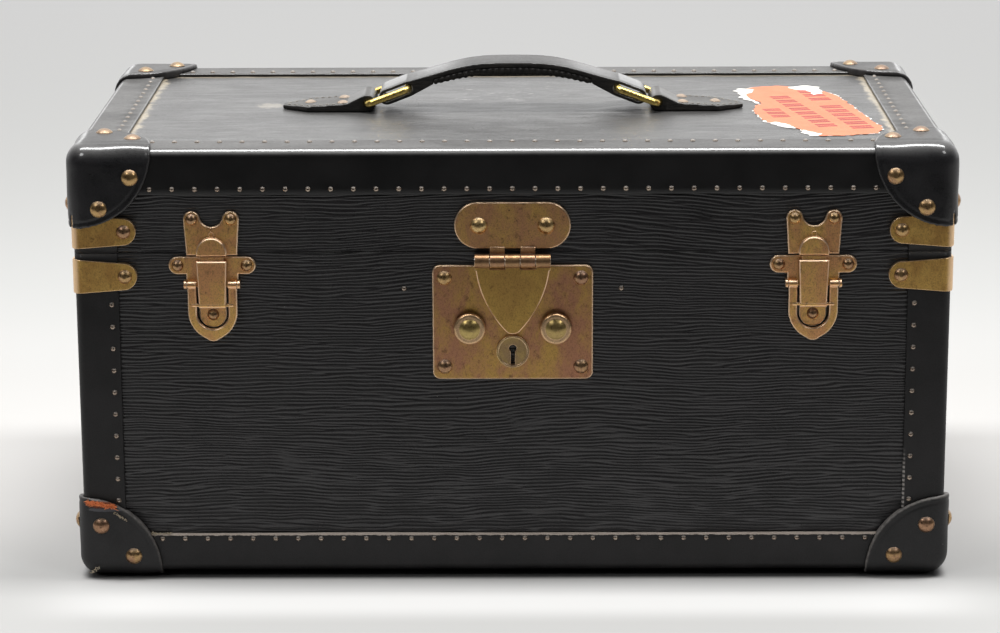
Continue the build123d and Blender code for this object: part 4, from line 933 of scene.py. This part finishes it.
BODY_RIM_WEAR = {(-1, -1): 0.45, (1, -1): 0.8, (-1, 1): 0.3, (1, 1): 0.3}
# Painted highlight: a faint pale line along the rims of the lid's caps
LID_RIM_HIGHLIGHT = {(-1, -1): 0.08, (1, -1): 0.08, (-1, 1): 0.1, (1, 1): 0.1}
for name, node, body, z_corner, shares, leather in (
    ("body_caps", "body_corner_caps", "case", UNDER, BODY_RIM_WEAR, MATT_CAP),
    ("lid_caps", "lid_corner_caps", "lid", TOP, LID_RIM_HIGHLIGHT, CAP_LEATHER),
):
    caps = softened(name, node, body, 0.8, 5, [leather], shape=cap_shape(z_corner))
    rim_wear_and_highlight(caps, z_corner, shares)


def cut_edges(piece, is_edge):
    """Give the faces whose normal and middle pass the test the cut-edge material."""
    for polygon in piece.data.polygons:
        if is_edge(polygon.normal, polygon.center):
            polygon.material_index = 1


STRAP_HALF = 12.0
CHAPE_TAPER = 99.0
CHAPE_TIP = 111.3
CHAPE_TIP_HALF = 2.5
CREASE_IN = 1.9


# The slot in each end of the strap that the link's bar slides in, as (x, z), and half its height
SLOT_IN = (50.3, LEATHER_TOP + 11.2)
SLOT_OUT = (60.5, LEATHER_TOP + 7.3)
SLOT_HALF = 2.15


def cleared_slot(co):
    """Open the strap's slots again where the smoothing has narrowed them."""
    x, z = np.abs(co[:, 0]), co[:, 2]
    way_x, way_z = SLOT_OUT[0] - SLOT_IN[0], SLOT_OUT[1] - SLOT_IN[1]
    along = np.clip(((x - SLOT_IN[0]) * way_x + (z - SLOT_IN[1]) * way_z) / (way_x ** 2 + way_z ** 2), 0, 1)
    from_x, from_z = x - SLOT_IN[0] - along * way_x, z - SLOT_IN[1] - along * way_z
    reach = np.hypot(from_x, from_z)
    pushed = np.maximum(reach, SLOT_HALF + 0.25) / np.maximum(reach, 0.1)
    grown = np.where(reach < SLOT_HALF + 0.85, pushed, 1.0)
    moved = co.copy()
    moved[:, 0] += np.sign(co[:, 0]) * from_x * (grown - 1)
    moved[:, 2] += from_z * (grown - 1)
    return moved


def creased_strap(co, no):
    """A pressed line near both edges of the strap's top, which crowns a little."""
    up = np.clip(no[:, 2] * 2 - 1, 0, 1)
    line = pressed(np.abs(co[:, 1]) - (STRAP_HALF - CREASE_IN), 0.45)
    crown = 0.35 * (1 - (co[:, 1] / STRAP_HALF) ** 2)
    lift = up * (crown - 0.35 * line)
    co = cleared_slot(co)
    return co + np.array([0.0, 0.0, 1.0]) * lift[:, None]


def scalloped_pad(co, no):
    """The pad's sides bulge between the stitches that pull them in."""
    under = np.clip(-no[:, 2], 0, 1) * (np.abs(co[:, 1]) > STRAP_HALF - 2.5)
    side = np.clip(np.abs(no[:, 1]) * 2 - 0.6, 0, 1) + under
    bulge = 0.22 * np.sin(co[:, 0] * 2 * pi / 2.9) * np.clip(side, 0, 1)
    along = np.clip(1.0 - np.abs(co[:, 0]) / np.abs(co[:, 0]).max(), 0, 1)
    sag = 1.2 * np.clip(-no[:, 2] * 1.5, 0, 1) * np.sqrt(along)
    return co + no * bulge[:, None] - np.array([0.0, 0.0, 1.0]) * sag[:, None]


def chape_half(x):
    """Half the chape's width at this distance from the case's middle."""
    slope = np.clip((np.abs(x) - CHAPE_TAPER) / (CHAPE_TIP - CHAPE_TAPER), 0, 1)
    return STRAP_HALF + (CHAPE_TIP_HALF - STRAP_HALF) * slope


def creased_chape(co, no):
    """A pressed line inside the chape's outline."""
    from_edge = chape_half(co[:, 0]) - np.abs(co[:, 1])
    up = np.clip(no[:, 2] * 2 - 1, 0, 1)
    return co - no * (0.25 * up * pressed(from_edge - CREASE_IN, 0.5))[:, None]


strap = softened(
    "handle_strap_leather", "handle_strap", "handle", 0.5, 4, [STRAP_LEATHER, CUT_EDGE], shape=creased_strap
)
cut_edges(strap, lambda normal, at: abs(normal.y) > 0.65 and abs(at.y) > 11.2 * MM)
pad = softened(
    "handle_pad_leather", "handle_pad", "handle", 0.6, 4, [PAD_LEATHER, CUT_EDGE], shape=scalloped_pad
)
cut_edges(pad, lambda normal, at: abs(normal.y) > 0.65 and abs(at.y) > 11.0 * MM)
chapes = softened(
    "handle_chape_leather", "handle_chapes", "lid", 0.5, 4, [CHAPE_LEATHER, CUT_EDGE], shape=creased_chape
)
cut_edges(chapes, lambda normal, at: abs(normal.z) < 0.5 and abs(at.x) > 74.0 * MM)
for side in ("left", "right"):
    name = "handle_link_" + side
    mesh = nodes[name].data.copy()
    mesh.name = name + "_ring"
    b = bmesh.new()
    b.from_mesh(mesh)
    bmesh.ops.remove_doubles(b, verts=b.verts, dist=0.002 * MM)
    for face in b.faces:
        face.smooth = True
    b.to_mesh(mesh)
    b.free()
    mesh.materials.clear()
    mesh.materials.append(BRIGHT_BRASS)
    link = linked(mesh.name, mesh)
    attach(link, "link_" + side)
    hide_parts(name)
softened("tray_tab_leather", "tray_tabs", "tray", 0.5, 3, [TAB_LEATHER])


# Small extras: stitches, stamped rings, the torn cap's fibres and the label
class Batch:
    """Points and faces of many small pieces that make one object."""

    def __init__(self):
        self.points = []
        self.faces = []

    def add(self, points, faces):
        first = len(self.points)
        self.points += points
        self.faces += [[first + i for i in face] for face in faces]

    def tube(self, path, radii, sides=6):
        """A closed tube along a path of points, with a radius at each one."""
        points = []
        for i, (place, radius) in enumerate(zip(path, radii)):
            ahead = (Vector(path[min(i + 1, len(path) - 1)]) - Vector(path[max(i - 1, 0)])).normalized()
            side = ahead.cross(Vector((0.31, 0.22, 0.92))).normalized()
            other = ahead.cross(side)
            for k in range(sides):
                t = 2 * pi * k / sides
                points.append(tuple(Vector(place) + (side * cos(t) + other * sin(t)) * radius))
        self.add(points, tube_faces(len(path), sides))

    def torus(self, centre, axis_y, major, minor, around=20, sides=8):
        """A ring that lies in the XZ plane."""
        points = []
        for i in range(around):
            a = 2 * pi * i / around
            for k in range(sides):
                t = 2 * pi * k / sides
                reach = major + minor * cos(t)
                x, z = centre[0] + reach * cos(a), centre[1] + reach * sin(a)
                points.append((x, axis_y + minor * sin(t), z))
        self.add(points, strip_faces(around, sides, True))

    def make(self, name, body, material, smooth=True):
        shading = [smooth] * len(self.faces)
        tidy_mesh(finish_piece(name, self.points, self.faces, body, [material], (), shading))


# A stitch from hole to hole: share of its length, rise above the leather, share of its radius
STITCH_CURVE = ((0, -0.3, 0.7), (0.18, 0.12, 1), (0.5, 0.2, 1.05), (0.82, 0.12, 1), (1, -0.3, 0.7))


def thread(batch, start, end, out, radius):
    """One stitch: a thread that rises out of its holes."""
    a, b, n = Vector(start), Vector(end), Vector(out)
    path = [tuple(a + (b - a) * t + n * rise) for t, rise, _ in STITCH_CURVE]
    batch.tube(path, [radius * r for _, _, r in STITCH_CURVE])


CHAPE_FLAT = 80.0
CHAPE_SLOPE = 2.0 / 31.3
STITCH_PITCH = 3.1
STITCH_LONG = 2.1
STITCH_RADIUS = 0.22
stitches = Batch()
for s in (-1, 1):
    x = CHAPE_FLAT - 4.0
    while x < CHAPE_TIP - 3.5:
        for side in (-1, 1):
            line = []
            for u in (x, x + STITCH_LONG):
                v = side * (float(chape_half(u)) - CREASE_IN * (1.0 if u < CHAPE_TAPER else 1.45))
                rise = CHAPE_SLOPE * (CHAPE_TIP - max(u, CHAPE_FLAT))
                line.append((s * u, v, LEATHER_TOP + 2.0 + rise - 0.1))
            thread(stitches, line[0], line[1], (0, 0, 1), STITCH_RADIUS)
        x += STITCH_PITCH
stitches.make("chape_stitches", "lid", THREAD)

rings = Batch()
LATCH_X = HALF_X - 63.0
CATCH_RING_Z = 163.9
for s in (-1, 1):
    rings.torus((s * LATCH_X, CATCH_RING_Z), -FACE_Y - 1.6, 1.15, 0.24)
rings.make("catch_rings", "lid", LATCH)


def fibres(name, material, count, seed, centre, spread, reach):
    """Short frayed fibres that stand up from a torn edge."""
    rng = np.random.default_rng(seed)
    batch = Batch()
    for _ in range(count):
        u, w = rng.uniform(-1, 1), rng.uniform(-1, 1)
        out = rng.uniform(-0.3, 0.1)
        start = Vector(centre) + Vector((u * spread[0], out, w * spread[2] - u * spread[1]))
        lean = Vector((rng.uniform(-1, 1), -rng.uniform(0.1, 0.7), rng.uniform(-0.2, 1.0))).normalized()
        length = rng.uniform(0.5, 1.0) * reach
        bend = Vector((rng.uniform(-0.4, 0.4), 0, rng.uniform(-0.5, 0.2))) * length
        path = [tuple(start + lean * length * t + bend * t * t) for t in (0.0, 0.35, 0.7, 1.0)]
        batch.tube(path, [0.24, 0.20, 0.13, 0.04], 5)
    batch.make(name, "case", material)


fibres("torn_cap_fibres", FIBRE, 230, 5, TEAR_AT, (6.6, 1.2, 0.9), 1.9)
fibres("torn_cap_pale_fibres", PALE_FIBRE, 26, 8, (-182.4, -CAP_FACE_Y, 30.6), (3.6, 2.4, 0.5), 1.5)
fibres("scuffed_cap_fibres", PALE_FIBRE, 12, 4, (-195.0, -CAP_FACE_Y + 0.2, 4.4), (2.2, -1.2, 0.8), 1.8)
fibres("base_lip_fibres", PALE_FIBRE, 40, 9, (-166.0, -HALF_Y + 0.1, BASE_BINDING_TOP), (6.5, 0.0, 0.15), 1.8)

# The torn label on the lid: places on the lid in X and Y
LABEL_LOW = LEATHER_TOP - 0.12
PRINT = (
    (111.0, 39.0), (113.5, 46.0), (121.0, 53.0), (133.0, 56.5), (139.0, 53.0), (152.0, 44.5),
    (159.5, 30.0), (164.3, 0.0), (173.2, -56.5), (169.4, -68.8), (153.0, -74.8), (141.9, -75.6),
    (136.8, -65.8), (129.4, -48.4), (119.6, -40.7), (117.7, -27.9), (115.5, -12.3), (117.5, 3.5),
    (121.1, 6.1), (119.8, 14.2), (113.7, 25.3),
)
TORN_TIP = (
    (109.5, 42.4), (111.6, 47.5), (116.5, 48.0), (120.0, 44.0), (119.0, 38.0), (115.0, 34.0),
    (114.8, 25.0), (118.6, 15.0), (119.9, 6.0), (117.0, 8.1), (115.0, 16.0), (111.6, 24.9),
    (112.0, 33.0),
)
TORN_BACK = (
    (137.4, 51.4), (142.8, 56.0), (147.0, 56.8), (152.5, 52.5), (154.0, 44.0), (152.5, 33.0),
    (148.4, 31.0), (147.5, 38.0), (145.0, 42.5), (139.3, 45.2),
)
TORN_FRONT = (
    (121.4, -43.4), (125.6, -42.2), (129.0, -45.1), (131.6, -50.5), (131.4, -57.0), (127.3, -54.9),
    (123.6, -48.2),
)
TORN_LOW = (
    (135.4, -61.2), (138.6, -65.2), (143.5, -69.8), (142.0, -76.4), (137.0, -74.0), (134.6, -67.0),
)


def torn_outline(corners, ragged, seed, step=1.1):
    """Walk round the corners in short steps that wander like a paper tear."""
    rng = np.random.default_rng(seed)
    path = []
    for (ax, ay), (bx, by) in zip(corners, corners[1:] + corners[:1]):
        count = max(1, round(hypot(bx - ax, by - ay) / step))
        for i in range(count):
            t = i / count
            path.append((ax + (bx - ax) * t, ay + (by - ay) * t))
    noise = np.tile(rng.standard_normal(len(path)), 3)
    offsets = np.convolve(noise, (0.3, 0.55, 0.3), "same")[len(path):2 * len(path)]
    bent = []
    for i, (x, y) in enumerate(path):
        px, py = path[i - 1]
        nx, ny = path[(i + 1) % len(path)]
        length = max(hypot(nx - px, ny - py), 0.01)
        dx, dy = (nx - px) / length, (ny - py) / length
        bent.append((x + dy * offsets[i] * ragged, y - dx * offsets[i] * ragged))
    return bent


def paper(name, corners, low, thick, ragged, seed, material):
    """A thin sheet with a torn outline, lying on the lid."""
    outline = torn_outline(corners, ragged, seed)
    points = [(x, y, z) for z in (low, low + thick) for x, y in outline]
    faces = tube_faces(2, len(outline))
    tidy_mesh(finish_piece(name, points, faces, "lid", [material]))


paper("label_paper", PRINT, LABEL_LOW, 0.20, 0.9, 3, PAPER)
for number, torn in enumerate((TORN_TIP, TORN_BACK, TORN_FRONT, TORN_LOW)):
    paper("label_torn_%d" % number, torn, LABEL_LOW, 0.31 + 0.01 * number, 0.8, 12 + number, PAPER)
paper("label_print", PRINT, LABEL_LOW + 0.1, 0.17, 0.5, 4, ORANGE)

# Plain bars in place of the print: the line's start, its end, the bar's height and which bars stand
ROWS = (
    ((146.0, 44.0), (164.5, -60.0), 10.4, (1, 1, 1, 0, 1, 1, 1, 1, 1, 1)),
    ((130.6, 28.0), (148.5, -55.5), 9.4, (1, 1, 1, 1, 1, 1, 1, 1)),
    ((124.2, -6.0), (128.6, -31.0), 8.6, (1, 1, 1)),
)
bars = Batch()
for (ax, ay), (bx, by), high, stands in ROWS:
    length = hypot(bx - ax, by - ay)
    ux, uy = (bx - ax) / length, (by - ay) / length
    pitch = length / len(stands)
    for i, stand in enumerate(stands):
        if not stand:
            continue
        for part in (0.08, 0.46):
            low, wide = (i + part) * pitch, 0.26 * pitch
            corners = []
            for along, across in ((low, -0.5), (low + wide, -0.5), (low + wide, 0.5), (low, 0.5)):
                corners.append((ax + ux * along - uy * across * high, ay + uy * along + ux * across * high))
            box = [(x, y, LABEL_LOW + rise) for rise in (0.2, 0.3) for x, y in corners]
            bars.add(box, tube_faces(2, 4))
bars.make("label_bars", "lid", BARS, False)


# Cloth over the boards inside: the boards' shapes with rounded edges, under a thin nap
CLOTH_ROUND = 0.45
TRAY_WALL = 2.5
TRAY_HALF_X = 190.0
TRAY_HALF_Y = 100.0
TRAY_WALL_LOW = 124.85
TRAY_WALL_TOP = 153.35


def wrapped(name, node, body, boards=()):
    """A cloth-covered copy of a board, or of these boxes in its place, with rounded edges."""
    b = bmesh.new()
    if boards:
        for low, high in boards:
            for vertex in bmesh.ops.create_cube(b, size=1.0)["verts"]:
                vertex.co = [((l + h) / 2 + c * (h - l)) * MM for c, l, h in zip(vertex.co, low, high)]
    else:
        b.from_mesh(nodes[node].data)
        bmesh.ops.remove_doubles(b, verts=b.verts, dist=0.005 * MM)
    sharp = [edge for edge in b.edges if len(edge.link_faces) == 2 and edge.calc_face_angle() > radians(30)]
    bmesh.ops.bevel(
        b, geom=sharp, offset=CLOTH_ROUND * MM, segments=3, profile=0.5, affect="EDGES", clamp_overlap=True
    )
    bmesh.ops.triangulate(b, faces=[face for face in b.faces if len(face.verts) > 4])
    mesh = bpy.data.meshes.new(name)
    b.to_mesh(mesh)
    b.free()
    mesh.materials.append(CLOTH)
    piece = linked(name, mesh)
    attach(piece, body)
    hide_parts(node)


tray_boards = []
for s in (-1, 1):
    outer, inner = s * TRAY_HALF_Y, s * (TRAY_HALF_Y - TRAY_WALL)
    ys = sorted((outer, inner))
    tray_boards.append(((-TRAY_HALF_X, ys[0], TRAY_WALL_LOW), (TRAY_HALF_X, ys[1], TRAY_WALL_TOP)))
    xs = sorted((s * TRAY_HALF_X, s * (TRAY_HALF_X - TRAY_WALL)))
    half = TRAY_HALF_Y - TRAY_WALL
    tray_boards.append(((xs[0], -half, TRAY_WALL_LOW), (xs[1], half, TRAY_WALL_TOP)))
wrapped("body_lining_cloth", "body_lining", "case")
wrapped("lid_lining_cloth", "lid_lining", "lid")
wrapped("tray_floor_cloth", "tray_floor", "tray")
wrapped("tray_wall_cloth", "tray_walls", "tray", tray_boards)
wrapped("tray_divider_cloth", "tray_dividers", "tray")


# Camera, at the photograph's place and angle
CAMERA_PLACE = (0.005195, -1.5216, 0.4836)
CAMERA_DEGREES = (14.239, 0.4475, -0.249)
CAMERA_LENS = 114.67
camera_data = bpy.data.cameras.new("photo_camera")
camera_data.sensor_width = 36.0
camera_data.lens = CAMERA_LENS
camera_data.clip_start = 0.05
camera_data.clip_end = 30.0
camera = linked("photo_camera", camera_data)
pitch, yaw, roll = [radians(angle) for angle in CAMERA_DEGREES]
right0 = Vector((cos(yaw), sin(yaw), 0.0))
ahead = Vector((-sin(yaw) * cos(pitch), cos(yaw) * cos(pitch), -sin(pitch)))
up0 = right0.cross(ahead)
right1 = cos(roll) * right0 + sin(roll) * up0
up1 = -sin(roll) * right0 + cos(roll) * up0
turn = Matrix((right1, up1, -ahead)).transposed().to_4x4()
camera.matrix_world = Matrix.Translation(CAMERA_PLACE) @ turn
scene.camera = camera


# Floor and light
def stage_floor():
    mesh = bpy.data.meshes.new("floor")
    mesh.from_pydata([(-6, -6, 0), (6, -6, 0), (6, 9, 0), (-6, 9, 0)], [], [(0, 1, 2, 3)])
    floor = linked("floor", mesh)
    look = Look("paper_floor", Roughness=0.9, Specular_IOR_Level=0.1)
    y = look.part("Y")
    x = look.size(look.part("X"))
    # Painted light on the floor: lighter just in front of the case, where its shadow falls, and a little
    # darker towards the sides, where the side lamps pool their light
    aside = (0.485, 0.482, 0.472)
    front = look.mix(look.ramp(x, 0.08, 0.24), (0.495, 0.492, 0.482), aside)
    shadow = look.mix(look.ramp(x, 0.165, 0.235), (0.665, 0.66, 0.65), aside)
    near = look.mix(look.ramp(y, -0.175, -0.150), front, shadow)
    near = look.mix(look.ramp(y, -0.12, 0.0), near, (0.60, 0.588, 0.573))
    middle = look.mix(look.ramp(y, 0.05, 0.5), near, (0.56, 0.56, 0.548))
    far = look.mix(look.ramp(y, 0.6, 2.2), middle, (0.94, 0.935, 0.93))
    # Painted contact shadow: the floor is coloured near black under the case's footprint
    under_x = look.ramp(x, 0.203, 0.196)
    under_y = look.times(look.ramp(y, -0.1145, -0.1085), look.ramp(y, 0.114, 0.108))
    shaded = look.mix(look.times(under_x, under_y), far, (0.09, 0.09, 0.09))
    look.put("Base Color", look.mix(look.ramp(y, -0.26, -0.75), shaded, (0.05, 0.05, 0.05)))
    mesh.materials.append(look.material)


def area_light(name, place, target, wide, high, radiance):
    data = bpy.data.lights.new(name, "AREA")
    data.shape = "RECTANGLE"
    data.size = wide
    data.size_y = high
    data.energy = radiance * wide * high * pi
    lamp = linked(name, data)
    lamp.location = place
    lamp.rotation_euler = (Vector(target) - Vector(place)).to_track_quat("-Z", "Y").to_euler()


# The sky from front to back: where the ramp starts and ends, and its strength at both
SKY_RAMP = (-0.3, 0.9, 0.06, 1.45)


def sky():
    world = bpy.data.worlds.new("studio")
    scene.world = world
    world.use_nodes = True
    tree = world.node_tree
    background = tree.nodes["Background"]
    coordinate = tree.nodes.new("ShaderNodeTexCoord")
    split = tree.nodes.new("ShaderNodeSeparateXYZ")
    ramp = tree.nodes.new("ShaderNodeMapRange")
    for socket, value in enumerate(SKY_RAMP, 1):
        ramp.inputs[socket].default_value = value
    ramp.interpolation_type = "SMOOTHSTEP"
    tree.links.new(coordinate.outputs["Generated"], split.inputs[0])
    tree.links.new(split.outputs["Y"], ramp.inputs[0])
    tree.links.new(ramp.outputs[0], background.inputs["Strength"])
    background.inputs["Color"].default_value = (1.0, 1.0, 1.0, 1.0)


stage_floor()
sky()
area_light("overhead", (0.0, -0.04, 1.50), (0.0, -0.04, 0.1), 1.8, 0.24, 23.0)
area_light("top_left", (-1.0, -1.0, 1.45), (0.0, 0.0, 0.1), 0.45, 0.45, 8.0)
area_light("top_right", (1.0, -1.0, 1.45), (0.0, 0.0, 0.1), 0.40, 0.40, 8.0)

scene.view_settings.view_transform = "Standard"
